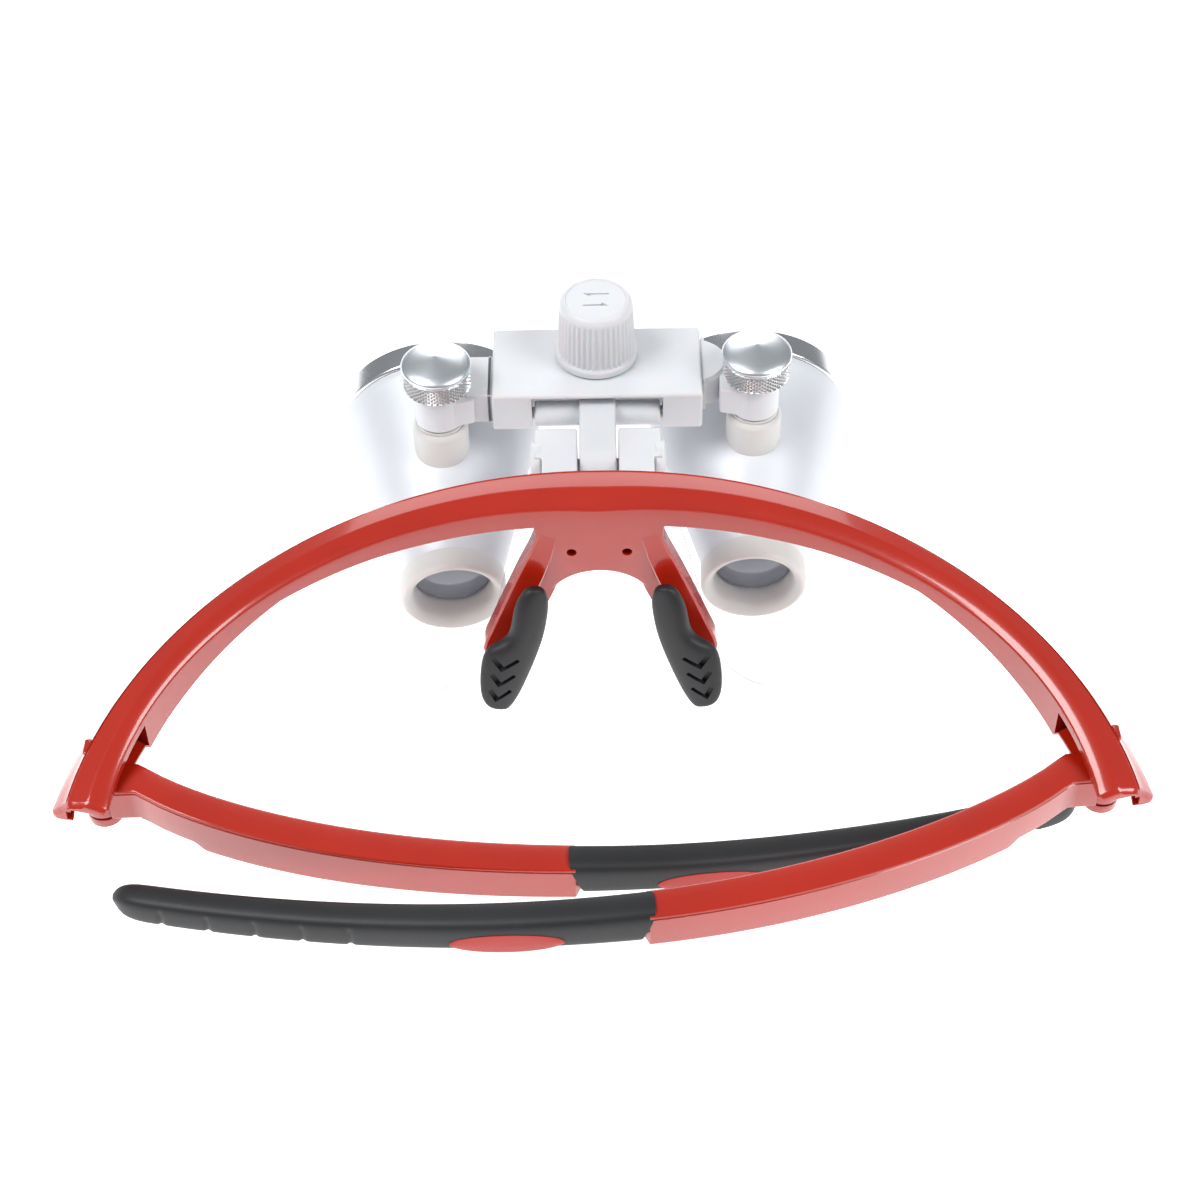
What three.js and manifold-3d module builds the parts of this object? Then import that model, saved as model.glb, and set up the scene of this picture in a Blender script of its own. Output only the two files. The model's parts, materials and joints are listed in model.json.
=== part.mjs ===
// Flip-up dental loupes on a half-frame pair of safety glasses, stored with the temples folded.
// Millimetres. +X is the wearer's right, +Y is the way the wearer looks, +Z is up, and the
// object stands on z = 0, on the lower edges of its lenses and the rims of its two objectives.
import * as THREE from "three";
import { mergeVertices } from "three/addons/utils/BufferGeometryUtils.js";
import Module from "manifold-3d";

const wasm = await Module();
wasm.setup();

// ---------------------------------------------------------------- driving dimensions

const GAP = 0.3;                    // clearance between pieces that are cut by a neighbour
const SLIP = 0.1;                   // clearance of shafts, pins and seats
const BOTTOM_CENTRE_Y = 5.9;        // moves the middle of the object's box to y = 0
const TABLE_Z = -1.0;               // the table's height in the heights used below

const brow = {
  halfWidth: 73.4,                  // half width of the ellipse that the front edge follows
  sweep: 60.0,                      // its other half axis, the wrap of the frame
  endAngle: THREE.MathUtils.degToRad(80),
  frontY: 7.7,                      // front edge in the middle
  topZ: 38.0,                       // height of the back top edge in the middle
  fall: 0.235,                      // drop in z for each mm towards the wearer
  middleThickness: 7.6,
  thinThickness: 6.1,
  endThickness: 8.2,
  endThinning: 0.45,                // share by which the section gets lower at the ends
  steps: 44,
};

const bridge = {
  halfWidth: 8.6, topZ: 35.2, waistZ: 26.0,
  footX: 9.8, footZ: 19.6,          // lower corners, beside the arch over the nose
  archR: 7.0, archZ: 18.4,
  backY: 1.0, frontY: 3.8,
  holeX: 3.85, holeZ: 28.6, holeR: 1.0,
};

const lens = { thickness: 1.6, topInset: 2.9, seat: 0.3, columns: 22, rows: 4 };

const hinge = {
  x: 66.4, y: -37.2,                // axis of the temple hinge
  knuckleR: 2.5,
  roofZ: 27.2,                      // underside of the frame over the knuckle
  lugTop: 20.8, lugBottom: 19.3,
  pinR: 0.8,
};

const temple = {
  length: 131, bow: 14, drop: 8,    // sideways bow and downward drop at the tip
  bowSkew: 0.86,                    // below 1 the bow leaves the root more steeply
  straight: 5.4,                    // length of the straight root
  sleeveStart: 62.5, sleeveSteps: 20, coreEnd: 8,
  rise: { left: -3.0, right: 3.2 }, // the right one is set higher than the left, so that they can cross
  riseFrom: 10, riseTo: 66,         // where along the temple that difference builds up
  riseBow: 0.93,                    // a higher temple also bows out further, and a lower one less
  rootZ: 24.0, rootHeight: 5.8, rootWidth: 5.0,
  leftAngle: 1.0, rightAngle: 4.8,  // degrees from parallel to X when folded
};

const flip = { baseY: 16.8, baseZ: 30.6, blockY: 27.6, blockZ: 31.2, armHalf: 2.7, baseR: 3.4, blockR: 2.9 };
const block = { halfX: 15.6, y0: 26.0, y1: 41.3, z0: 29.4, z1: 36.0, notchHalf: 9.6, shaftHoleR: 1.8 };
const pinion = { y: 35.4, pitchR: 2.5, teeth: 10, tip: 0.4, root: 0.6, z0: 31.0, z1: 34.2 };
const rack = { tipHalf: 0.2, rootHalf: 0.46, z0: 30.9, z1: 34.2, teeth: 17 };
const post = {
  x: 23.5, y: 29.2, offset: 0.8,    // the left post stands a little nearer the wearer than the right
  r: 1.5, eyeletR: 3.6, eyeletZ0: 29.8, eyeletZ1: 35.9,
};
const postY = (sign) => post.y + sign * post.offset;

const barrel = {
  length: 38, postAt: 19.4,         // length, and where the post stands from the eye end
  pitch: THREE.MathUtils.degToRad(7),
  eyeR: 7.9, coneR: 7.6, frontR: 15.4, ringR: 15.8,
  ringLength: 4.2, ringEdge: 0.4, eyecupLength: 4.0,
  seatR: 13.2,                      // bore that the objective lens sits in
  bossR: 4.15, bossTop: 29.3,
  leftYaw: 5, rightYaw: 1.2,        // degrees of toe-out
  segments: 32,
};
// Height of the barrel's axis at its post, which sets the back edge of the ring down on the table.
const barrelAxisZ = TABLE_Z + barrel.ringR * Math.cos(barrel.pitch)
  - (barrel.length - barrel.ringLength + barrel.ringEdge - barrel.postAt) * Math.sin(barrel.pitch);

// ---------------------------------------------------------------- materials

const finishes = {
  redPlastic: { color: 0xc8301c, roughness: 0.22, metalness: 0 },
  clearLens: { color: 0xe6eef2, roughness: 0.05, metalness: 0 },
  rubber: { color: 0x2c3034, roughness: 0.6, metalness: 0 },
  whitePlastic: { color: 0xf2f2f0, roughness: 0.35, metalness: 0 },
  paleMetal: { color: 0xdfe5ea, roughness: 0.3, metalness: 0.6 },
  aluminium: { color: 0xc4c8cc, roughness: 0.3, metalness: 0.9 },
  steel: { color: 0x9a9da0, roughness: 0.35, metalness: 0.9 },
  brass: { color: 0xb08d4a, roughness: 0.4, metalness: 0.9 },
  opticGlass: { color: 0x4a5262, roughness: 0.05, metalness: 0 },
  blackAnodised: { color: 0x17181a, roughness: 0.6, metalness: 0.3 },
};

// ---------------------------------------------------------------- solid helpers

// Signed volume of an indexed triangle list, to tell which way its faces point.
function signedVolume(positions, index) {
  const [a, b, c] = [new THREE.Vector3(), new THREE.Vector3(), new THREE.Vector3()];
  let sum = 0;
  for (let i = 0; i < index.length; i += 3) {
    a.fromArray(positions, index[i] * 3);
    b.fromArray(positions, index[i + 1] * 3);
    c.fromArray(positions, index[i + 2] * 3);
    sum += a.dot(b.cross(c));
  }
  return sum;
}

function toSolid(geometry) {
  const bare = geometry.clone();
  for (const name of Object.keys(bare.attributes)) {
    if (name !== "position") bare.deleteAttribute(name);
  }
  const merged = mergeVertices(bare, 1e-4);
  const positions = merged.attributes.position.array;
  const triVerts = Uint32Array.from(merged.index.array);
  if (signedVolume(positions, triVerts) < 0) triVerts.reverse();
  const vertProperties = Float32Array.from(positions);
  return new wasm.Manifold(new wasm.Mesh({ numProp: 3, vertProperties, triVerts }));
}

function toGeometry(solid) {
  const mesh = solid.getMesh();
  const geometry = new THREE.BufferGeometry();
  geometry.setAttribute("position", new THREE.BufferAttribute(mesh.vertProperties, 3));
  geometry.setIndex(new THREE.BufferAttribute(mesh.triVerts, 1));
  return geometry;
}

const join = (...parts) => parts.map(toSolid).reduce((sum, part) => sum.add(part));
const cut = (solid, ...tools) => tools.map(toSolid).reduce((rest, tool) => rest.subtract(tool), solid);
const carve = (geometry, ...tools) => toGeometry(cut(toSolid(geometry), ...tools));

// ---------------------------------------------------------------- shape helpers

function box(x0, x1, y0, y1, z0, z1) {
  const geometry = new THREE.BoxGeometry(x1 - x0, y1 - y0, z1 - z0);
  return geometry.translate((x0 + x1) / 2, (y0 + y1) / 2, (z0 + z1) / 2);
}

function rodZ(radius, x, y, z0, z1, segments = 16) {
  const geometry = new THREE.CylinderGeometry(radius, radius, z1 - z0, segments);
  return geometry.rotateX(Math.PI / 2).translate(x, y, (z0 + z1) / 2);
}

function rodX(radius, x0, x1, y, z, segments = 16) {
  const geometry = new THREE.CylinderGeometry(radius, radius, x1 - x0, segments);
  return geometry.rotateZ(Math.PI / 2).translate((x0 + x1) / 2, y, z);
}

function rodY(radius, x, y0, y1, z, segments = 12) {
  const geometry = new THREE.CylinderGeometry(radius, radius, y1 - y0, segments);
  return geometry.translate(x, (y0 + y1) / 2, z);
}

function shapeOf(points) {
  return new THREE.Shape(points.map(([x, y]) => new THREE.Vector2(x, y)));
}

// An outline in the XY plane, raised from z0 to z1.
function prismZ(points, z0, z1) {
  const geometry = new THREE.ExtrudeGeometry(shapeOf(points), { depth: z1 - z0, bevelEnabled: false });
  return geometry.translate(0, 0, z0);
}

// An outline of (y, z) points, drawn out along X.
function prismX(points, x0, x1) {
  const geometry = new THREE.ExtrudeGeometry(shapeOf(points), { depth: x1 - x0, bevelEnabled: false });
  return geometry.rotateZ(Math.PI / 2).rotateY(Math.PI / 2).translate(x0, 0, 0);
}

// An outline of (x, z) points, drawn out along Y.
function prismY(points, y0, y1) {
  const geometry = new THREE.ExtrudeGeometry(shapeOf(points), { depth: y1 - y0, bevelEnabled: false });
  return geometry.rotateX(Math.PI / 2).translate(0, y1, 0);
}

// A closed profile of [radius, height] points turned about Z through (x, y).
function turnedZ(profile, x, y, segments = 32) {
  const points = profile.map(([r, h]) => new THREE.Vector2(r, h));
  return new THREE.LatheGeometry(points, segments).rotateX(Math.PI / 2).translate(x, y, 0);
}

// A section drawn along 0..1 and then bent by map(a, b, t), which gives each vertex its place.
function warped(points, steps, map) {
  const geometry = new THREE.ExtrudeGeometry(shapeOf(points), { depth: 1, steps, bevelEnabled: false });
  return warpVertices(geometry, map);
}

function warpVertices(geometry, map) {
  const position = geometry.attributes.position;
  for (let i = 0; i < position.count; i += 1) {
    const place = map(position.getX(i), position.getY(i), position.getZ(i));
    position.setXYZ(i, place.x, place.y, place.z);
  }
  return geometry;
}

// A toothed outline between two radii, with flat tips and roots.
function toothedOutline(teeth, rootR, tipR, tipShare, rootShare, startAngle = 0) {
  const points = [];
  const pitch = (2 * Math.PI) / teeth;
  for (let i = 0; i < teeth; i += 1) {
    const middle = startAngle + i * pitch;
    const corners = [[rootR, -rootShare], [tipR, -tipShare], [tipR, tipShare], [rootR, rootShare]];
    for (const [radius, share] of corners) {
      const angle = middle + (share * pitch) / 2;
      points.push([radius * Math.cos(angle), radius * Math.sin(angle)]);
    }
  }
  return points;
}

function roundedEnd(centreX, centreY, radius, fromAngle, toAngle, steps = 8) {
  const points = [];
  for (let i = 0; i <= steps; i += 1) {
    const angle = THREE.MathUtils.degToRad(fromAngle + ((toAngle - fromAngle) * i) / steps);
    points.push([centreX + radius * Math.cos(angle), centreY + radius * Math.sin(angle)]);
  }
  return points;
}

const mirrorX = (geometry) => {
  const copy = geometry.clone();
  copy.scale(-1, 1, 1);
  return copy;
};

// ---------------------------------------------------------------- scene helpers

const assembly = new THREE.Group();
assembly.position.set(0, BOTTOM_CENTRE_Y, -TABLE_Z);

function addPart(name, geometry, finish, parent = assembly) {
  const solid = toSolid(geometry);
  const mesh = new THREE.Mesh(toGeometry(solid), new THREE.MeshStandardMaterial(finishes[finish]));
  mesh.name = name;
  parent.add(mesh);
  return mesh;
}

const SIDES = [{ name: "left", sign: -1 }, { name: "right", sign: 1 }];

// ---------------------------------------------------------------- front frame

function browThickness(angle) {
  const u = Math.abs(angle) / brow.endAngle;
  const middle = Math.max(0, 1 - u / 0.4) ** 2 * (brow.middleThickness - brow.thinThickness);
  const end = (Math.max(0, u - 0.5) / 0.5) ** 2 * (brow.endThickness - brow.thinThickness);
  return brow.thinThickness + middle + end;
}

// A point of the frame: depth is 0..-1 from the front edge to the back edge in shares of the
// thickness, offset is a further distance outwards, and w is a height over the tilted top plane.
function browPoint(angle, depth, offset, w) {
  const normal = new THREE.Vector2(brow.sweep * Math.sin(angle), brow.halfWidth * Math.cos(angle));
  normal.normalize();
  const shift = depth * browThickness(angle) + offset;
  const x = brow.halfWidth * Math.sin(angle) + normal.x * shift;
  const y = brow.frontY - brow.sweep * (1 - Math.cos(angle)) + normal.y * shift;
  const u = Math.abs(angle) / brow.endAngle;
  const share = w < 0 ? 1 - brow.endThinning * u * u : 1;
  return new THREE.Vector3(x, y, brow.topZ + brow.fall * y + w * share);
}

// Depth share and height of the brow bar's section, with the groove for the lens under it.
const browSection = [
  [-1.0, -3.6], [-1.0, -0.25], [-0.96, 0.0], [-0.6, 0.55], [-0.4, 0.6], [-0.15, -0.2], [-0.03, -1.1],
  [0.0, -1.9], [-0.02, -4.4], [-0.08, -5.2], [-0.12, -5.2], [-0.14, -3.0], [-0.52, -3.0], [-0.54, -3.6],
];

function browBar() {
  return warped(browSection, brow.steps, (a, b, t) =>
    browPoint(THREE.MathUtils.lerp(-brow.endAngle, brow.endAngle, t), a, 0, b));
}

function bridgePlate() {
  const { halfWidth, topZ, waistZ, footX, footZ, archR, archZ, backY, frontY } = bridge;
  const arch = roundedEnd(0, archZ, archR, 160, 20, 10).map(([x, z]) => [x, Math.max(z, footZ)]);
  const outline = [
    [halfWidth, topZ], [-halfWidth, topZ], [-halfWidth, waistZ], [-footX, footZ],
    ...arch, [footX, footZ], [halfWidth, waistZ],
  ];
  return prismY(outline, backY, frontY);
}

// A flat strip that runs from the bridge down to the nose pad.
function noseArm(sign) {
  const route = new THREE.CatmullRomCurve3([
    new THREE.Vector3(sign * 8.0, 1.8, 27.5),
    new THREE.Vector3(sign * 10.2, 1.0, 22.5),
    new THREE.Vector3(sign * 13.4, -0.6, 16.0),
    new THREE.Vector3(sign * 16.2, -2.0, 10.5),
  ]);
  const half = [0.95, 1.9];
  const section = [[-half[0], -half[1]], [half[0], -half[1]], [half[0], half[1]], [-half[0], half[1]]];
  return warped(section, 8, (a, b, t) => {
    const place = route.getPoint(t);
    return new THREE.Vector3(place.x + a * 0.9 * sign, place.y + b, place.z + a * 0.45);
  });
}

// The hinge end: a front wall and a lower lug under the roof that the brow bar makes.
function hingeLug(sign) {
  const x = hinge.x;
  const wallY = hinge.y + hinge.knuckleR + GAP;
  const wall = box(x - 2.4, x + 2.2, wallY, wallY + 2.6, hinge.lugBottom, hinge.roofZ + 2.5);
  const lugEnd = roundedEnd(x, hinge.y, 2.4, 180, 360);
  const lugOutline = [[x + 2.4, wallY + 2.6], [x - 2.4, wallY + 2.6], ...lugEnd];
  const lug = prismZ(lugOutline, hinge.lugBottom, hinge.lugTop);
  return sign > 0 ? [wall, lug] : [mirrorX(wall), mirrorX(lug)];
}

function hingePocket(sign) {
  const inner = hinge.x - 8;
  const outer = hinge.x + hinge.knuckleR + GAP;
  const front = hinge.y + hinge.knuckleR + GAP;
  const pocket = box(inner, outer, hinge.y - 8, front, hinge.lugTop, hinge.roofZ);
  const seat = rodZ(hinge.pinR + SLIP, hinge.x, hinge.y, hinge.lugBottom - 1, hinge.roofZ + 1.6);
  return sign > 0 ? [pocket, seat] : [mirrorX(pocket), mirrorX(seat)];
}

function buildFrontFrame() {
  const lugs = SIDES.flatMap(({ sign }) => hingeLug(sign));
  const arms = SIDES.map(({ sign }) => noseArm(sign));
  const whole = join(browBar(), bridgePlate(), ...arms, ...lugs);
  const pockets = SIDES.flatMap(({ sign }) => hingePocket(sign));
  const holes = SIDES.map(({ sign }) =>
    rodY(bridge.holeR, sign * bridge.holeX, bridge.backY - 1, bridge.frontY + 1, bridge.holeZ));
  addPart("front_frame", toGeometry(cut(whole, ...pockets, ...holes)), "redPlastic");
}

// ---------------------------------------------------------------- lenses and nose pads

// Height of a lens's lower edge: flat on the table, rising at the nose and at the temple.
function lensBottom(x) {
  const nose = Math.max(0, (25 - x) / 7.4) ** 2 * 5;
  const end = Math.max(0, (x - 46) / 24) ** 2.4 * 15;
  return TABLE_Z + nose + end;
}

function lensGeometry(sign) {
  const outerAngle = Math.asin(70 / brow.halfWidth);
  const grid = new THREE.BoxGeometry(1, 1, 1, lens.columns, 1, lens.rows).translate(0.5, 0, 0.5);
  return warpVertices(grid, (p, across, q) => {
    const noseX = THREE.MathUtils.lerp(17.6, 9.2, q);
    const angle = THREE.MathUtils.lerp(Math.asin(noseX / brow.halfWidth), outerAngle, p);
    const top = browPoint(angle, -0.33, 0, -(lens.topInset + lens.seat));
    const lean = 1.3 * (1 - q) ** 1.4;
    const place = browPoint(angle, -0.33, across * lens.thickness - lean, 0);
    const z = THREE.MathUtils.lerp(lensBottom(top.x), top.z, q);
    return new THREE.Vector3(sign * place.x, place.y, z);
  });
}

// The lens stops short of the hinge lug, and only its lower corner reaches under it.
function hingeClearance(sign) {
  const room = box(62.8, hinge.x + 10, hinge.y - 10, hinge.y + 8, hinge.lugBottom - 0.6, brow.topZ);
  return sign > 0 ? room : mirrorX(room);
}

function nosePadGeometry(sign) {
  const top = new THREE.Vector3(8.7, -4.6, 26.6);
  const bottom = new THREE.Vector3(13.9, -9.6, 7.2);
  const along = bottom.clone().sub(top).normalize();
  const face = new THREE.Vector3(-0.8, -0.5, -0.1).normalize();
  const across = new THREE.Vector3().crossVectors(along, face).normalize();
  const ring = roundedEnd(0, 0, 1, 0, 330, 11);
  return warped(ring, 10, (a, b, t) => {
    const bulge = Math.sqrt(Math.max(0.02, 1 - (2 * t - 1) ** 4));
    const place = top.clone().lerp(bottom, t);
    place.addScaledVector(across, a * bulge * (3.5 + 1.0 * t)).addScaledVector(face, b * bulge * 1.6);
    return new THREE.Vector3(sign * place.x, place.y, place.z);
  });
}

function buildLensesAndPads() {
  for (const { name, sign } of SIDES) {
    addPart(`${name}_lens`, carve(lensGeometry(sign), hingeClearance(sign)), "clearLens");
    addPart(`${name}_nose_pad`, nosePadGeometry(sign), "rubber");
  }
}

// ---------------------------------------------------------------- temples

// Section corners of a temple, in shares of its width and height.
const templeSection = [
  [-0.5, -0.3], [-0.32, -0.5], [0.32, -0.5], [0.5, -0.3], [0.5, 0.3], [0.32, 0.5], [-0.32, 0.5], [-0.5, 0.3],
];

// How far a temple is raised at a length, building up over its front half and easing at the tip.
function templeRise(x, rise) {
  const share = THREE.MathUtils.smoothstep(x, temple.riseFrom, temple.riseTo);
  const tip = THREE.MathUtils.smoothstep(x, temple.riseTo + 24, temple.length);
  return rise * share * (rise < 0 ? 1 - 0.7 * tip : 1);
}

// Sweeps a section along the temple between two lengths, with width and height set by size(x).
function templeSweep(from, to, steps, rise, size) {
  return warped(templeSection, steps, (a, b, t) => {
    const x = THREE.MathUtils.lerp(from, to, t);
    const s = (Math.max(0, x - temple.straight) / (temple.length - temple.straight)) ** temple.bowSkew;
    const raised = templeRise(x, rise);
    const y = -temple.bow * 4 * s * (1 - s) - raised * temple.riseBow;
    const { width, height, lower = 0 } = size(x);
    const z = temple.rootZ - temple.drop * (x / temple.length) ** 2 + raised - lower;
    return new THREE.Vector3(x, y + a * width, z + b * height);
  });
}

const armSize = (x) => {
  const taper = x / temple.sleeveStart;
  const step = x > 13 ? 1.1 : 0;
  const height = temple.rootHeight + step - 0.9 * taper;
  return { width: temple.rootWidth - 0.6 * taper, height, lower: step / 2 };
};
const coreSize = () => ({ width: 2.2, height: 3.4 });
const coreHoleSize = () => {
  const { width, height } = coreSize();
  return { width: width + 2 * SLIP, height: height + 2 * SLIP };
};
const sleeveSize = (x) => {
  const s = (x - temple.sleeveStart) / (temple.length - temple.sleeveStart);
  const round = Math.sqrt(Math.max(0.08, 1 - Math.max(0, (s - 0.9) / 0.1) ** 2));
  return { width: (4.9 - 0.7 * s) * round, height: (5.9 - 1.3 * s) * round };
};

function buildTemple(name, sign, angle) {
  const group = new THREE.Group();
  group.position.set(sign * hinge.x, hinge.y, 0);
  group.rotation.z = THREE.MathUtils.degToRad(angle);
  assembly.add(group);
  const place = sign > 0 ? mirrorX : (geometry) => geometry;

  const { rootZ, rootHeight, sleeveStart, length, coreEnd } = temple;
  const rise = temple.rise[name];
  const knuckle = rodZ(hinge.knuckleR, 0, 0, rootZ - rootHeight / 2, rootZ + rootHeight / 2);
  const red = join(knuckle, templeSweep(0, sleeveStart, 22, rise, armSize),
    templeSweep(sleeveStart - 2, length - coreEnd, 14, rise, coreSize));
  const bore = rodZ(hinge.pinR + 2 * SLIP, 0, 0, 0, 40);
  addPart(`${name}_temple`, place(toGeometry(cut(red, bore))), "redPlastic", group);

  const sleeve = carve(
    templeSweep(sleeveStart + SLIP, length, temple.sleeveSteps, rise, sleeveSize),
    templeSweep(sleeveStart - 3, length - coreEnd + GAP, 14, rise, coreHoleSize));
  addPart(`${name}_temple_sleeve`, place(sleeve), "rubber", group);
}

function buildTemples() {
  buildTemple("left", -1, temple.leftAngle);
  buildTemple("right", 1, temple.rightAngle);
  for (const { name, sign } of SIDES) {
    const x = sign * hinge.x;
    const shank = rodZ(hinge.pinR, x, hinge.y, hinge.lugBottom - 0.2, hinge.roofZ + 1.4);
    const head = rodZ(1.5, x, hinge.y, hinge.lugBottom - 0.9, hinge.lugBottom - 0.1);
    addPart(`${name}_hinge_screw`, toGeometry(join(shank, head)), "steel");
  }
}

// ---------------------------------------------------------------- flip mount

function buildMountBase() {
  const { baseY: y, baseZ: z } = flip;
  const plate = box(-7.8, 7.8, bridge.frontY + SLIP, 8.6, 24.6, 34.0);
  const lugs = SIDES.map(({ sign }) => {
    const side = [[8.2, 26.2], ...roundedEnd(y, z, 4.2, -70, 60), [y, 34.9], [8.2, 34.9]];
    const inner = flip.armHalf + GAP;
    const outer = 9.4;
    return prismX(side, sign > 0 ? inner : -outer, sign > 0 ? outer : -inner);
  });
  const step = box(-9.4, 9.4, 8.2, 9.9, 26.2, 34.9);
  const bores = [
    rodX(1.25, -12, 12, y, z),
    ...SIDES.map(({ sign }) => rodY(0.9, sign * bridge.holeX, 0, 7.4, bridge.holeZ)),
  ];
  addPart("mount_base", toGeometry(cut(join(plate, step, ...lugs), ...bores)), "whitePlastic");
  addPart("base_pivot_pin", rodX(1.15, -9.2, 9.2, y, z), "steel");
  for (const { name, sign } of SIDES) {
    const x = sign * bridge.holeX;
    const shank = rodY(0.8, x, bridge.backY - 0.1, 7.2, bridge.holeZ);
    const head = rodY(1.6, x, bridge.backY - 0.9, bridge.backY - 0.1, bridge.holeZ);
    addPart(`${name}_base_screw`, toGeometry(join(shank, head)), "steel");
  }
}

function buildFlipArm() {
  const half = flip.armHalf;
  const stem = [
    [flip.baseY, flip.baseZ + flip.baseR], [flip.baseY, flip.baseZ - 2.2],
    [flip.blockY, flip.blockZ - 1.9], [flip.blockY, flip.blockZ + 2.0], [flip.blockY - 3, flip.blockZ + 2.0],
  ];
  const body = join(
    prismX(stem, -half, half),
    rodX(flip.baseR, -half, half, flip.baseY, flip.baseZ, 24),
    rodX(flip.blockR, -half, half, flip.blockY, flip.blockZ, 24),
    rodX(1.9, -block.notchHalf + 0.2, block.notchHalf - 0.2, flip.blockY, flip.blockZ, 24));
  const bores = [
    rodX(1.3, -12, 12, flip.baseY, flip.baseZ),
    rodX(1.1, -12, 12, flip.blockY, flip.blockZ),
  ];
  addPart("flip_arm", toGeometry(cut(body, ...bores)), "whitePlastic");
}

// ---------------------------------------------------------------- adjuster block

const cavity = { halfX: 14.4, y0: 31.4, y1: 40.3, top: 34.5 };
const coverZ1 = 30.6;
const coverScrews = { x: 12.6, y: 36.0 };

// Teeth of a rack along X, with a space at x = 0, pointing the way sign gives, from left to right.
function rackTeeth(pitchY, sign) {
  const pitch = (2 * Math.PI * pinion.pitchR) / pinion.teeth;
  const rootY = pitchY - sign * pinion.root;
  const tipY = pitchY + sign * pinion.tip;
  const firstX = -Math.ceil(rack.teeth / 2) * pitch;
  const points = [];
  for (let i = 0; i < rack.teeth; i += 1) {
    const x = firstX + (i + 0.5) * pitch;
    points.push([x - rack.rootHalf, rootY], [x - rack.tipHalf, tipY]);
    points.push([x + rack.tipHalf, tipY], [x + rack.rootHalf, rootY]);
  }
  return points;
}

function buildBlock() {
  const { halfX, y0, y1, z0, z1, notchHalf, shaftHoleR } = block;
  const slots = [
    box(-halfX - 1, 0, cavity.y0, 33.6, rack.z0 - SLIP, cavity.top),
    box(0, halfX + 1, 37.2, cavity.y1, rack.z0 - SLIP, cavity.top),
  ];
  const housing = carve(box(-halfX, halfX, y0, y1, z0, z1),
    box(-cavity.halfX, cavity.halfX, cavity.y0, cavity.y1, z0 - 1, cavity.top),
    box(-notchHalf, notchHalf, y0 - 1, 30.8, z0 - 1, 34.4),
    rodZ(shaftHoleR, 0, pinion.y, cavity.top - 1, z1 + 1, 24),
    rodX(1.1, -halfX - 1, halfX + 1, flip.blockY, flip.blockZ),
    ...slots);
  addPart("adjuster_block", housing, "whitePlastic");
  addPart("block_pivot_pin", rodX(1.0, -halfX + 0.3, halfX - 0.3, flip.blockY, flip.blockZ), "steel");

  const inset = SLIP;
  const cover = carve(
    box(-cavity.halfX + inset, cavity.halfX - inset, cavity.y0 + inset, cavity.y1 - inset, z0, coverZ1),
    rodZ(1.3, 0, pinion.y, z0 + 0.4, coverZ1 + 1),
    ...SIDES.map(({ sign }) => rodZ(0.7, sign * coverScrews.x, coverScrews.y, z0 - 1, coverZ1 + 1, 16)));
  addPart("adjuster_cover", cover, "whitePlastic");
  for (const { name, sign } of SIDES) {
    const x = sign * coverScrews.x;
    const head = rodZ(1.2, x, coverScrews.y, z0 - 0.7, z0 - 0.05, 16);
    const shank = rodZ(0.6, x, coverScrews.y, z0 - 0.1, coverZ1, 16);
    addPart(`${name}_cover_screw`, toGeometry(join(head, shank)), "steel");
  }
}

function buildKnob() {
  const { y, z0, z1 } = pinion;
  const [rootR, tipR] = [pinion.pitchR - pinion.root, pinion.pitchR + pinion.tip];
  const outline = toothedOutline(pinion.teeth, rootR, tipR, 0.26, 0.6, -Math.PI / 2);
  const gear = prismZ(outline, z0, z1).translate(0, y, 0);
  const shaft = rodZ(1.6, 0, y, z1 - 0.2, 41.0, 20);
  const stub = rodZ(1.2, 0, y, block.z0 + 0.5, z0 + 0.2, 20);
  addPart("pinion_shaft", toGeometry(join(gear, shaft, stub)), "brass");

  const ribs = 20;
  const base = block.z1 + 0.15;
  const flange = turnedZ([
    [0, base], [5.75, base], [5.95, base + 0.3], [5.95, base + 1.1], [5.6, base + 1.5], [0, base + 1.5],
  ], 0, y, ribs);
  const body = prismZ(toothedOutline(ribs, 5.25, 5.6, 0.35, 0.75), base + 1.3, base + 9.2).translate(0, y, 0);
  const cap = turnedZ([
    [0, base + 9], [5.3, base + 9], [5.1, base + 9.7], [4.4, base + 10.25], [0, base + 10.25],
  ], 0, y, ribs);
  const knob = cut(join(flange, body, cap), rodZ(1.6 + SLIP / 2, 0, y, base - 1, 41.1, 20));
  addPart("ipd_knob", toGeometry(knob), "whitePlastic");
}

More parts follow.
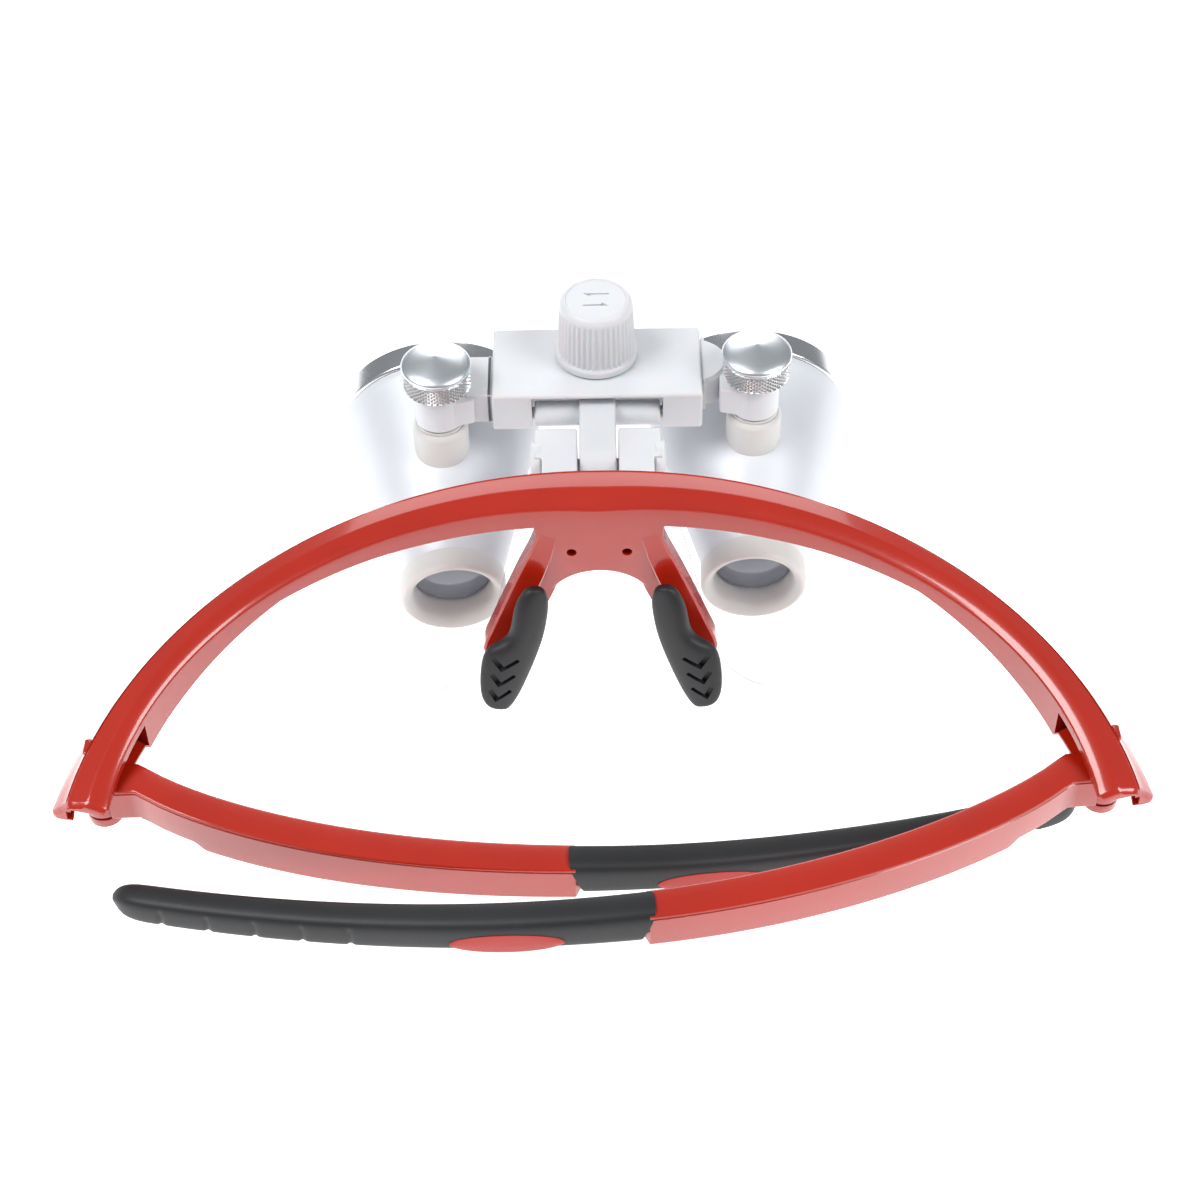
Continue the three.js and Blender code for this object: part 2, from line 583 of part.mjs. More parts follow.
// One sliding arm: a rack inside the block, a flat outer box, and the eyelet round the post.
function buildSlidingArm(name, sign) {
  const rear = sign < 0;
  const inner = 13.9;
  const boxX = block.halfX + 0.15;
  const boxOuter = 19.4;
  const boxY = rear ? [27.2, 36.0] : [29.4, 39.8];
  const toothSide = rear ? 1 : -1;
  const pitchY = pinion.y + (rear ? -pinion.pitchR : pinion.pitchR);
  const backY = rear ? cavity.y0 + SLIP : cavity.y1 - SLIP;
  const teeth = rackTeeth(pitchY, toothSide);
  const last = teeth.length - 1;
  const rackOutline = [
    [-inner, teeth[0][1]], ...teeth.filter(([x]) => Math.abs(x) < inner), [inner, teeth[last][1]],
    [inner, backY], [-inner, backY],
  ];
  const bar = prismZ(rackOutline, rack.z0, rack.z1);
  const link = [sign * (inner - 0.5), sign * (boxX + 0.5)].sort((a, b) => a - b);
  const linkY = rear ? [backY, pitchY - pinion.root] : [pitchY + pinion.root, backY];
  const neck = box(link[0], link[1], linkY[0], linkY[1], rack.z0, rack.z1);
  const [x0, x1] = [sign * boxX, sign * boxOuter].sort((a, b) => a - b);
  const outer = box(x0, x1, boxY[0], boxY[1], 30.0, 35.2);
  const [n0, n1] = [sign * (boxOuter - 0.5), sign * post.x].sort((a, b) => a - b);
  const y = postY(sign);
  const strap = box(n0, n1, y - 1.9, y + 2.6, 30.4, 34.9);
  const eyelet = rodZ(post.eyeletR, sign * post.x, y, post.eyeletZ0, post.eyeletZ1, 24);
  const whole = join(bar, neck, outer, strap, eyelet);
  const bore = rodZ(post.r + 2 * SLIP, sign * post.x, y, 20, 40, 20);
  addPart(`${name}_arm`, toGeometry(cut(whole, bore)), "whitePlastic");
}

// ---------------------------------------------------------------- barrels

// Turns a closed [radius, distance from the eye end] profile into a barrel piece with its post at 0.
function barrelTurned(profile, segments = barrel.segments) {
  const points = profile.map(([r, along]) => new THREE.Vector2(r, along - barrel.postAt));
  return new THREE.LatheGeometry(points, segments).rotateX(barrel.pitch).translate(0, 0, barrelAxisZ);
}

function buildBarrel(name, sign, yaw) {
  const group = new THREE.Group();
  group.position.set(sign * post.x, postY(sign), 0);
  group.rotation.z = THREE.MathUtils.degToRad(-sign * yaw);
  assembly.add(group);

  const { length, seatR, eyeR, coneR, frontR, ringR, ringLength, ringEdge, eyecupLength } = barrel;
  const ringBack = length - ringLength;
  const shellOuter = [[coneR, eyecupLength + SLIP], [frontR, ringBack - 0.6], [frontR, ringBack - SLIP]];
  const seatBack = ringBack - 3.4;
  const outside = barrelTurned([[0, eyecupLength + SLIP], ...shellOuter, [0, ringBack - SLIP]]);
  const boss = rodZ(barrel.bossR, 0, 0, barrelAxisZ + 4, barrel.bossTop, 28);
  const stud = rodZ(post.r, 0, 0, barrelAxisZ + 6, 38.0, 20);
  const inside = barrelTurned([
    [0, eyecupLength - 1], [5.8, eyecupLength - 1], [5.8, eyecupLength + 4.0], [seatR - 1.4, seatBack],
    [seatR, seatBack], [seatR, ringBack + 1], [0, ringBack + 1],
  ]);
  addPart(`${name}_barrel`, toGeometry(cut(join(outside, boss, stud), inside)), "paleMetal", group);

  const eyecup = barrelTurned([
    [7.3, 0], [eyeR, 0.8], [eyeR - 0.1, eyecupLength], [5.9, eyecupLength], [5.7, 3.2], [6.9, 0], [7.3, 0],
  ]);
  addPart(`${name}_eyecup_ring`, eyecup, "whitePlastic", group);

  const ring = barrelTurned([
    [ringR - ringEdge, ringBack], [ringR, ringBack + ringEdge], [ringR, length], [ringR - 1.9, length],
    [ringR - 2.4, length - 2.2], [ringR - 2.4, ringBack], [ringR - ringEdge, ringBack],
  ]);
  addPart(`${name}_objective_ring`, ring, "aluminium", group);

  const eyeLensBack = eyecupLength + 3.0;
  const eyeLens = barrelTurned([
    [0, eyecupLength + 0.1], [2.9, eyecupLength + 0.25], [5.7, eyecupLength + 0.8],
    [5.7, eyeLensBack], [0, eyeLensBack],
  ], 24);
  addPart(`${name}_eye_lens`, eyeLens, "opticGlass", group);

  const lensR = seatR - SLIP;
  const objective = barrelTurned([
    [0, seatBack + 1.2], [lensR, seatBack + 1.2], [lensR, ringBack - 0.3],
    [lensR / 2, ringBack + 1.1], [0, ringBack + 1.5],
  ]);
  addPart(`${name}_objective_lens`, objective, "opticGlass", group);

  const spacerEnd = seatBack + 1.1;
  const spacer = barrelTurned([
    [lensR, seatBack + SLIP], [lensR, spacerEnd], [lensR - 2.2, spacerEnd], [lensR - 2.2, seatBack + SLIP],
    [lensR, seatBack + SLIP],
  ]);
  addPart(`${name}_lens_spacer`, spacer, "blackAnodised", group);
}

function buildPostHardware(name, sign) {
  const x = sign * post.x;
  const y = postY(sign);
  const washer = carve(rodZ(3.5, x, y, barrel.bossTop + 0.05, post.eyeletZ0 - 0.05, 24),
    rodZ(post.r + SLIP, x, y, 20, 40, 20));
  addPart(`${name}_post_washer`, washer, "steel");

  const z = post.eyeletZ1 + 0.15;
  const head = turnedZ([
    [0, z], [3.4, z], [3.4, z + 0.5], [4.95, z + 0.7], [4.95, z + 3.5], [4.5, z + 3.7],
    [4.5, z + 4.0], [4.95, z + 4.2], [4.95, z + 4.5], [2.5, z + 5.9], [0, z + 6.5],
  ], x, y, 24);
  const screw = cut(toSolid(head), rodZ(post.r + SLIP, x, y, z - 1, 38.3, 20));
  addPart(`${name}_lock_screw`, toGeometry(screw), "aluminium");
}

// ---------------------------------------------------------------- assembly

buildFrontFrame();
buildLensesAndPads();
buildTemples();
buildMountBase();
buildFlipArm();
buildBlock();
buildKnob();
for (const { name, sign } of SIDES) {
  buildSlidingArm(name, sign);
  buildPostHardware(name, sign);
  buildBarrel(name, sign, sign < 0 ? barrel.leftYaw : barrel.rightYaw);
}

export default assembly;
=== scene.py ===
"""Flip-up dental loupes on half-frame safety glasses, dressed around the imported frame.

Lengths inside the classes are millimetres from the datum, the middle of the brow's back edge,
and are made metres of the shared frame by Datum.at().
"""

import json
import logging
import math
from dataclasses import dataclass, field
from enum import Enum
from typing import Sequence, Union

import bmesh
import bpy
from mathutils import Matrix, Vector


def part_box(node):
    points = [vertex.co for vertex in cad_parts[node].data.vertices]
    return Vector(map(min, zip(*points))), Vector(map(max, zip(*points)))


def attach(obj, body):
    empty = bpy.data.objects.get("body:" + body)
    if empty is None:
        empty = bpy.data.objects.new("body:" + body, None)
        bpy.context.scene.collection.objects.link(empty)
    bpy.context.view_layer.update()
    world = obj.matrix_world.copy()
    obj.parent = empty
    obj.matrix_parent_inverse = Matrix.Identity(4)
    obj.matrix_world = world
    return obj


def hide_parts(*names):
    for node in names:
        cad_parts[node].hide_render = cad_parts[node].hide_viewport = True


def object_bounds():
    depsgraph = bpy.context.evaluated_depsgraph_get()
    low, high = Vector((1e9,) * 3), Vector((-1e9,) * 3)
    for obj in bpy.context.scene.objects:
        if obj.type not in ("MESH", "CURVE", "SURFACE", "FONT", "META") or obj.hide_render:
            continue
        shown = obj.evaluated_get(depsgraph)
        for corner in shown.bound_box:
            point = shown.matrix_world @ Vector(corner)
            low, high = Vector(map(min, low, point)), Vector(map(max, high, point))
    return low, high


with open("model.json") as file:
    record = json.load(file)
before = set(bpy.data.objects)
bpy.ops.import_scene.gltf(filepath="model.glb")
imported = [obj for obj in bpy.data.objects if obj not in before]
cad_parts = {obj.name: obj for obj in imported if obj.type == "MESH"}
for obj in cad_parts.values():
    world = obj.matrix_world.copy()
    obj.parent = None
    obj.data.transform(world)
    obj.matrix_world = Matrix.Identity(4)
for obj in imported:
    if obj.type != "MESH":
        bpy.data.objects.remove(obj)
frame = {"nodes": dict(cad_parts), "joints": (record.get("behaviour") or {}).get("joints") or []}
CAD_BOX = [list(corner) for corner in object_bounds()]

logging.basicConfig(level=logging.INFO, format="%(message)s")
LOG = logging.getLogger("loupes")

MM = 0.001
MERGE_DISTANCE = 1e-7
Point = tuple[float, float, float]
Ring = list[Vector]


# ---------------------------------------------------------------- places

class Side(Enum):
    """The wearer's two sides, with the sign of X."""

    LEFT = -1
    RIGHT = 1

    @property
    def label(self) -> str:
        """The side's name as the nodes have it."""
        return self.name.lower()


class Body(str, Enum):
    """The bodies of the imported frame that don't come in pairs."""

    FRAME = "frame"
    FLIP_ARM = "flip_arm"
    ADJUSTER = "adjuster"
    KNOB = "knob"


def joint_place(name: str) -> Vector:
    """Gives a joint's place in metres.

    Args:
        name: The joint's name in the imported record.

    Returns:
        A point on the joint's axis.
    """
    joints = {joint["name"]: joint for joint in frame["joints"]}
    return Vector(joints[name]["pos_m"])


@dataclass(frozen=True)
class Datum:
    """Turns millimetres from the brow's back edge into metres of the shared frame."""

    flip_y: float = 16.8
    flip_z: float = 30.6

    @property
    def origin(self) -> Vector:
        """The datum in metres, found from the axis that the loupes flip about."""
        return joint_place("loupe_flip") - Vector((0.0, self.flip_y, self.flip_z)) * MM

    def at(self, x: float, y: float, z: float) -> Vector:
        """Gives the place of a point stated in millimetres."""
        return self.origin + Vector((x, y, z)) * MM

    def local(self, place: Vector) -> Vector:
        """Gives a place in metres as millimetres from the datum."""
        return (place - self.origin) / MM


DATUM = Datum()
FLIP = DATUM.local(joint_place("loupe_flip"))
TILT = DATUM.local(joint_place("declination_tilt"))
KNOB_AXIS = DATUM.local(joint_place("knob_spin"))
HINGE = DATUM.local(joint_place("right_temple_fold"))
TABLE_Z = DATUM.local(Vector((0.0, 0.0, CAD_BOX[0][2]))).z


def post_of(side: Side) -> Vector:
    """Gives the axis of a barrel's post, in millimetres from the datum."""
    return DATUM.local(joint_place(f"{side.label}_barrel_yaw"))


def lerp(a: float, b: float, t: float) -> float:
    """Mixes two numbers by t."""
    return a + (b - a) * t


def smooth(t: float, low: float, high: float) -> float:
    """Rises from 0 at low to 1 at high with no kink."""
    share = min(1.0, max(0.0, (t - low) / (high - low)))
    return share * share * (3.0 - 2.0 * share)


# ---------------------------------------------------------------- shader maths

Number = Union[float, "Value"]


class Value:
    """A socket of a material that takes part in Python expressions."""

    def __init__(self, graph: "Graph", socket: bpy.types.NodeSocket) -> None:
        """Keeps the graph and the socket that gives the value."""
        self.graph = graph
        self.socket = socket

    def _math(self, operation: str, first: Number, second: Number) -> "Value":
        """Adds a Math node for first and second and gives its result."""
        node = self.graph.node("ShaderNodeMath", {"operation": operation}, {0: first, 1: second})
        return Value(self.graph, node.outputs[0])

    def __add__(self, other: Number) -> "Value":
        """Adds."""
        return self._math("ADD", self, other)

    __radd__ = __add__

    def __sub__(self, other: Number) -> "Value":
        """Takes other away."""
        return self._math("SUBTRACT", self, other)

    def __rsub__(self, other: Number) -> "Value":
        """Takes this value away from other."""
        return self._math("SUBTRACT", other, self)

    def __mul__(self, other: Number) -> "Value":
        """Multiplies."""
        return self._math("MULTIPLY", self, other)

    __rmul__ = __mul__

    def __pow__(self, other: Number) -> "Value":
        """Raises to a power."""
        return self._math("POWER", self, other)

    def above(self, low: float, high: float) -> "Value":
        """Gives 0 below low and 1 above high, with a smooth step between.

        Args:
            low: Where the step starts.
            high: Where the step ends.

        Returns:
            The stepped value.
        """
        node = self.graph.node(
            "ShaderNodeMapRange", {"interpolation_type": "SMOOTHSTEP"},
            {"Value": self, "From Min": low, "From Max": high})
        return Value(self.graph, node.outputs["Result"])


class Graph:
    """The node tree of one material, around one Principled shader."""

    def __init__(self, name: str) -> None:
        """Makes an empty node material.

        Args:
            name: The material's name.
        """
        self.material = bpy.data.materials.new(name)
        self.material.use_nodes = True
        self.tree = self.material.node_tree
        self.shader = self.tree.nodes["Principled BSDF"]
        self.output = self.tree.nodes["Material Output"]
        self.coordinates = self.node("ShaderNodeTexCoord").outputs["Object"]

    def node(self, kind: str, settings: dict | None = None, inputs: dict | None = None) -> bpy.types.Node:
        """Adds any node.

        Args:
            kind: The node's type.
            settings: Its settings, which are set first.
            inputs: Values or links of its sockets, by name or number.

        Returns:
            The new node.
        """
        made = self.tree.nodes.new(kind)
        for key, setting in (settings or {}).items():
            setattr(made, key, setting)
        for key, content in (inputs or {}).items():
            self.feed(made.inputs[key], content)
        return made

    def feed(self, socket: bpy.types.NodeSocket, content: object) -> None:
        """Links a value to a socket, or sets the socket's own number or colour."""
        if isinstance(content, Value):
            self.tree.links.new(content.socket, socket)
        elif isinstance(content, bpy.types.NodeSocket):
            self.tree.links.new(content, socket)
        else:
            socket.default_value = content

    def placed(self, centre: Vector, turn: Point = (0.0, 0.0, 0.0)) -> bpy.types.NodeSocket:
        """Gives object coordinates measured from a centre and turned.

        Args:
            centre: The new origin, in metres.
            turn: Euler angles of the pattern in radians.

        Returns:
            The Vector output of the last Mapping node.
        """
        moved = self.node("ShaderNodeMapping", {}, {
            "Vector": self.coordinates, "Location": tuple(-centre)})
        turned = self.node("ShaderNodeMapping", {}, {"Vector": moved.outputs[0], "Rotation": turn})
        return turned.outputs[0]

    def noise(self, scale: float, detail: float = 2.0, stretch: Point = (1.0, 1.0, 1.0),
              source: bpy.types.NodeSocket | None = None) -> Value:
        """Gives a noise pattern in object coordinates.

        Args:
            scale: Waves per metre.
            detail: Octaves.
            stretch: Scale along each axis.
            source: Other coordinates to use.

        Returns:
            The pattern, 0 to 1.
        """
        mapping = self.node("ShaderNodeMapping", {}, {
            "Vector": source or self.coordinates, "Scale": stretch})
        pattern = self.node("ShaderNodeTexNoise", {}, {
            "Vector": mapping.outputs[0], "Scale": scale, "Detail": detail})
        return Value(self, pattern.outputs[0])

    def mix(self, factor: Number, first: Sequence[float], second: Sequence[float]) -> Value:
        """Mixes two colours by a factor.

        Args:
            factor: Share of the second colour.
            first: Linear colour.
            second: Linear colour.

        Returns:
            The mixed colour.
        """
        node = self.node("ShaderNodeMix", {"data_type": "RGBA"}, {
            0: factor, 6: (*first, 1.0), 7: (*second, 1.0)})
        return Value(self, node.outputs[2])

    def bump(self, height: Value, strength: float, distance: float) -> None:
        """Feeds a height to the shader's normal through a Bump node."""
        node = self.node("ShaderNodeBump", {}, {
            "Height": height, "Strength": strength, "Distance": distance})
        self.feed(self.shader.inputs["Normal"], node.outputs["Normal"])

    def set(self, **values: object) -> None:
        """Sets sockets of the shader; an underscore in a name stands for a space."""
        for name, content in values.items():
            self.feed(self.shader.inputs[name.replace("_", " ")], content)


@dataclass(frozen=True)
class Finish:
    """A moulded or machined surface with slight unevenness of colour, gloss and relief."""

    name: str
    slot: str
    colour: tuple[float, float, float]
    shade: tuple[float, float, float]
    roughness: float = 0.3
    unevenness: float = 0.08
    metallic: float = 0.0
    grain: float = 2500.0
    relief: float = 0.00001
    coat: float = 0.0
    coat_roughness: float = 0.05
    specular: float = 0.5
    subsurface: float = 0.0

    def build(self) -> bpy.types.Material:
        """Makes the material.

        Returns:
            The node material.
        """
        graph = Graph(self.name)
        cloud = graph.noise(60.0, 3.0)
        fine = graph.noise(self.grain, 3.0)
        graph.set(
            Base_Color=graph.mix(cloud.above(0.35, 0.7), self.colour, self.shade),
            Roughness=fine * self.unevenness + (self.roughness - self.unevenness / 2.0),
            Metallic=self.metallic,
            Coat_Weight=self.coat,
            Coat_Roughness=self.coat_roughness,
        )
        graph.shader.inputs["Specular IOR Level"].default_value = self.specular
        graph.shader.inputs["Subsurface Weight"].default_value = self.subsurface
        graph.shader.inputs["Subsurface Scale"].default_value = 0.0012
        graph.bump(fine, 0.25, self.relief)
        return graph.material


@dataclass(frozen=True)
class TurnedFinish(Finish):
    """Metal with the fine rings that a lathe leaves around an axis."""

    centre: Point = (0.0, 0.0, 0.0)
    lean: Point = (0.0, 0.0, 0.0)
    rings: float = 9000.0

    def build(self) -> bpy.types.Material:
        """Makes the material, with its rings around the axis through centre.

        Returns:
            The node material.
        """
        graph = Graph(self.name)
        local = graph.placed(Vector(self.centre), self.lean)
        flat = graph.node("ShaderNodeVectorMath", {"operation": "MULTIPLY"}, {0: local, 1: (1.0, 1.0, 0.0)})
        radius = graph.node("ShaderNodeVectorMath", {"operation": "LENGTH"}, {0: flat.outputs[0]})
        split = graph.node("ShaderNodeSeparateXYZ", {}, {0: local})
        along = Value(graph, split.outputs[2])
        line = graph.node("ShaderNodeCombineXYZ", {}, {
            0: Value(graph, radius.outputs["Value"]) + along * 0.7, 1: 0.0, 2: 0.0})
        rings = graph.noise(self.rings, 2.0, source=line.outputs[0])
        cloud = graph.noise(120.0, 2.0)
        graph.set(
            Base_Color=graph.mix(rings * 0.6 + cloud * 0.4, self.shade, self.colour),
            Roughness=rings * self.unevenness + (self.roughness - self.unevenness / 2.0),
            Metallic=self.metallic,
            Coat_Weight=self.coat,
        )
        graph.bump(rings, 0.25, self.relief)
        return graph.material


@dataclass(frozen=True)
class ClearFinish(Finish):
    """Clear hard plastic or glass: its pale colour grows more opaque at a slant, a painted reflection beside the
    shader's real gloss.
    """

    opacity: float = 0.05
    edge_opacity: float = 0.5

    def build(self) -> bpy.types.Material:
        """Makes the material.

        Returns:
            The node material.
        """
        graph = Graph(self.name)
        facing = graph.node("ShaderNodeLayerWeight", {}, {"Blend": 0.35})
        slant = Value(graph, facing.outputs["Facing"]) ** 3.0
        smear = graph.noise(90.0, 3.0)
        # Painted reflection: the opacity of the pale base colour rises at a slant.
        alpha = slant * (self.edge_opacity - self.opacity) + self.opacity + (smear - 0.5) * 0.01
        graph.set(
            Base_Color=graph.mix(smear, self.colour, self.shade),
            Roughness=smear * 0.03 + self.roughness,
            Alpha=alpha,
        )
        return graph.material


@dataclass(frozen=True)
class CoatedGlass(Finish):
    """Optical glass under a clear coat layer: its dark colour is painted shade of the tube's unlit inside, and its
    paler blue at a slant is a painted reflection.
    """

    def build(self) -> bpy.types.Material:
        """Makes the material.

        Returns:
            The node material.
        """
        graph = Graph(self.name)
        facing = graph.node("ShaderNodeLayerWeight", {}, {"Blend": 0.5})
        slant = Value(graph, facing.outputs["Facing"])
        speck = graph.noise(900.0, 1.0)
        # Painted shade and painted reflection: the dark colour stands for the tube's unlit inside, and the paler blue
        # taken on at a slant stands for reflection.
        graph.set(
            Base_Color=graph.mix(slant.above(0.1, 0.8), self.colour, self.shade),
            Roughness=speck * 0.03 + self.roughness,
            Coat_Weight=self.coat,
            Coat_Roughness=0.02,
        )
        return graph.material


class Finishes:
    """Every finish of the loupes, each made once and kept by name."""

    RED = Finish("red_gloss", "red_plastic", (0.44, 0.016, 0.004), (0.40, 0.014, 0.003),
                 roughness=0.22, coat=0.8, coat_roughness=0.07, grain=1800.0)
    RED_SATIN = Finish("red_satin", "red_plastic", (0.45, 0.020, 0.012), (0.41, 0.017, 0.010),
                       roughness=0.36, grain=2200.0, relief=0.00002)
    # The clear lens shows mostly as its pale colour turns opaque at a slant, a painted reflection.
    LENS = ClearFinish("clear_lens", "clear_lens", (0.90, 0.93, 0.95), (0.86, 0.90, 0.92),
                       roughness=0.03, opacity=0.035, edge_opacity=0.45)
    # Painted shade: the lens edge is dark grey and nearly opaque, standing in for the darkening that light gives as it
    # bends through the clear edge.
    LENS_EDGE = ClearFinish("clear_lens_edge", "clear_lens", (0.20, 0.22, 0.23), (0.17, 0.19, 0.20),
                            roughness=0.25, opacity=0.95, edge_opacity=0.97)
    RUBBER = Finish("black_rubber", "black_rubber", (0.0135, 0.0145, 0.0165), (0.010, 0.011, 0.0125),
                    roughness=0.5, unevenness=0.15, grain=3500.0, relief=0.00004, specular=0.45)
    WHITE = Finish("white_moulded", "white_plastic", (0.68, 0.695, 0.72), (0.65, 0.665, 0.69),
                   roughness=0.38, unevenness=0.1, grain=2600.0, relief=0.00002, subsurface=0.35)
    IVORY = Finish("ivory_moulded", "white_plastic", (0.66, 0.655, 0.64), (0.62, 0.615, 0.60),
                   roughness=0.42, unevenness=0.1, grain=2600.0, relief=0.00002, subsurface=0.35)
    PALE = Finish("pale_silver", "pale_metal", (0.70, 0.73, 0.77), (0.66, 0.69, 0.73),
                  roughness=0.42, unevenness=0.08, metallic=0.12, grain=5200.0, relief=0.00001)
    STEEL = Finish("machined_steel", "steel", (0.50, 0.50, 0.52), (0.40, 0.40, 0.42),
                   roughness=0.3, metallic=1.0, grain=5000.0)
    BRASS = Finish("machined_brass", "brass", (0.62, 0.45, 0.20), (0.52, 0.37, 0.15),
                   roughness=0.32, metallic=1.0, grain=5000.0)
    # Glass colours: dark painted shade of the tube's inside, and a paler blue painted reflection at a slant.
    GLASS = CoatedGlass("coated_glass", "optic_glass", (0.035, 0.045, 0.075), (0.16, 0.19, 0.24),
                        roughness=0.04, coat=1.0)
    BLACK = Finish("black_anodised", "black_anodised", (0.012, 0.012, 0.013), (0.008, 0.008, 0.009),
                   roughness=0.55, metallic=0.2, grain=4000.0)
    _made: dict[str, bpy.types.Material] = {}

    @classmethod
    def material(cls, finish: Finish) -> bpy.types.Material:
        """Gives a finish's material, making it the first time.

        Args:
            finish: The finish.

        Returns:
            Its material.
        """
        if finish.name not in cls._made:
            cls._made[finish.name] = finish.build()
        return cls._made[finish.name]


# ---------------------------------------------------------------- modelling

class Workbench:
    """Models meshes with Blender's own operators."""

    @staticmethod
    def clear() -> None:
        """Leaves nothing selected, in object mode."""
        if bpy.context.object and bpy.context.object.mode != "OBJECT":
            bpy.ops.object.mode_set(mode="OBJECT")
        bpy.ops.object.select_all(action="DESELECT")

    @staticmethod
    def take(piece: bpy.types.Object) -> None:
        """Makes one object the only selected and active one."""
        Workbench.clear()
        piece.select_set(True)
        bpy.context.view_layer.objects.active = piece

    @staticmethod
    def circle(name: str, corners: int, filled: bool) -> bpy.types.Object:
        """Adds a circle and opens it in edit mode.

        Args:
            name: The new object's name.
            corners: Number of corners.
            filled: Whether it has a face.

        Returns:
            The new object.
        """
        Workbench.clear()
        bpy.ops.mesh.primitive_circle_add(
            vertices=corners, radius=MM, fill_type="NGON" if filled else "NOTHING")
        piece = bpy.context.object
        piece.name = piece.data.name = name
        bpy.ops.object.mode_set(mode="EDIT")
        bpy.ops.mesh.select_all(action="SELECT")
        return piece

    @staticmethod
    def loft(name: str, rings: list[Ring], closed: bool = False) -> bpy.types.Object:
        """Extrudes a ring of corners from station to station.

        Args:
            name: The new object's name.
            rings: Rings of the same number of corners, in metres.
            closed: Whether the last ring meets the first one.

        Returns:
            The closed solid.
        """
        piece = Workbench.circle(name, len(rings[0]), not closed)
        mesh = bmesh.from_edit_mesh(piece.data)
        mesh.verts.ensure_lookup_table()
        corner = mesh.verts.layers.int.new("corner")
        for number, vert in enumerate(mesh.verts):
            vert[corner] = number
            vert.co = rings[0][number]
        bmesh.update_edit_mesh(piece.data)
        for ring in rings[1:]:
            if closed:
                bpy.ops.mesh.extrude_edges_move()
            else:
                bpy.ops.mesh.extrude_region_move()
            mesh = bmesh.from_edit_mesh(piece.data)
            corner = mesh.verts.layers.int["corner"]
            for vert in mesh.verts:
                if vert.select:
                    vert.co = ring[vert[corner]]
            bmesh.update_edit_mesh(piece.data)
        Workbench.close_up(piece)
        return piece

    @staticmethod
    def close_up(piece: bpy.types.Object) -> None:
        """Merges doubles, turns faces outwards and leaves edit mode."""
        bpy.ops.mesh.select_all(action="SELECT")
        bpy.ops.mesh.remove_doubles(threshold=MERGE_DISTANCE)
        bpy.ops.mesh.dissolve_degenerate(threshold=MERGE_DISTANCE)
        bpy.ops.mesh.normals_make_consistent(inside=False)
        bpy.ops.object.mode_set(mode="OBJECT")
        for layer in [a for a in piece.data.attributes if a.name == "corner"]:
            piece.data.attributes.remove(layer)

    @staticmethod
    def turned(name: str, profile: list[tuple[float, float]], place: Matrix, steps: int = 96) -> bpy.types.Object:
        """Spins a closed profile about an axis.

        Args:
            name: The new object's name.
            profile: Radius and height of each corner in millimetres.
            place: Where the axis's origin and direction go, in metres.
            steps: Steps round the axis.

        Returns:
            The closed solid.
        """
        piece = Workbench.circle(name, len(profile), False)
        mesh = bmesh.from_edit_mesh(piece.data)
        mesh.verts.ensure_lookup_table()
        for vert, (radius, height) in zip(list(mesh.verts), profile):
            vert.co = Vector((radius * MM, 0.0, height * MM))
        bmesh.update_edit_mesh(piece.data)
        bpy.ops.mesh.spin(steps=steps, angle=math.tau, center=(0, 0, 0), axis=(0, 0, 1))
        Workbench.close_up(piece)
        piece.data.transform(place)
        return piece

    @staticmethod
    def box(name: str, low: Point, high: Point, bevel: float = 0.0, segments: int = 3) -> bpy.types.Object:
        """Adds a box between two corners and rounds its edges.

        Args:
            name: The new object's name.
            low: Lowest corner in millimetres from the datum.
            high: Highest corner in millimetres from the datum.
            bevel: Radius of the edges in millimetres.
            segments: Steps across each rounding.

        Returns:
            The box.
        """
        Workbench.clear()
        a, b = DATUM.at(*low), DATUM.at(*high)
        bpy.ops.mesh.primitive_cube_add(size=1.0, location=(a + b) / 2.0)
        piece = bpy.context.object
        piece.name = piece.data.name = name
        piece.scale = b - a
        bpy.ops.object.transform_apply(location=True, rotation=True, scale=True)
        if bevel > 0.0:
            bpy.ops.object.mode_set(mode="EDIT")
            bpy.ops.mesh.select_all(action="SELECT")
            bpy.ops.mesh.bevel(offset=bevel * MM, segments=segments, affect="EDGES")
            bpy.ops.object.mode_set(mode="OBJECT")
        return piece

    @staticmethod
    def prism(name: str, outline: list[Vector], depth: Vector) -> bpy.types.Object:
        """Extrudes a flat outline by a vector.

        Args:
            name: The new object's name.
            outline: Corners in metres.
            depth: The way and distance to extrude, in metres.

        Returns:
            The closed solid.
        """
        return Workbench.loft(name, [outline, [corner + depth for corner in outline]])

    @staticmethod
    def apply(piece: bpy.types.Object, kind: str, **settings: object) -> None:
        """Adds a modifier, sets it and applies it.

        Args:
            piece: The object.
            kind: The modifier's type.
            settings: The modifier's settings.
        """
        Workbench.take(piece)
        modifier = piece.modifiers.new(kind.lower(), kind)
        for key, setting in settings.items():
            setattr(modifier, key, setting)
        bpy.ops.object.modifier_apply(modifier=modifier.name)

    @staticmethod
    def boolean(piece: bpy.types.Object, tools: list[bpy.types.Object], operation: str) -> None:
        """Joins tools to a piece or cuts them away, and removes the tools.

        Args:
            piece: The object that stays.
            tools: The objects that are used up.
            operation: UNION or DIFFERENCE.
        """
        for tool in tools:
            Workbench.apply(piece, "BOOLEAN", operation=operation, object=tool, solver="EXACT")
            mesh = tool.data
            bpy.data.objects.remove(tool)
            bpy.data.meshes.remove(mesh)

    @staticmethod
    def round_edges(piece: bpy.types.Object, width: float, segments: int = 2, angle: float = 40.0) -> None:
        """Rounds the edges that are sharper than an angle.

        Args:
            piece: The object.
            width: Width in millimetres.
            segments: Steps across the rounding.
            angle: Degrees between faces from which an edge counts.
        """
        Workbench.apply(piece, "BEVEL", width=width * MM, segments=segments, limit_method="ANGLE",
                        angle_limit=math.radians(angle), use_clamp_overlap=True)

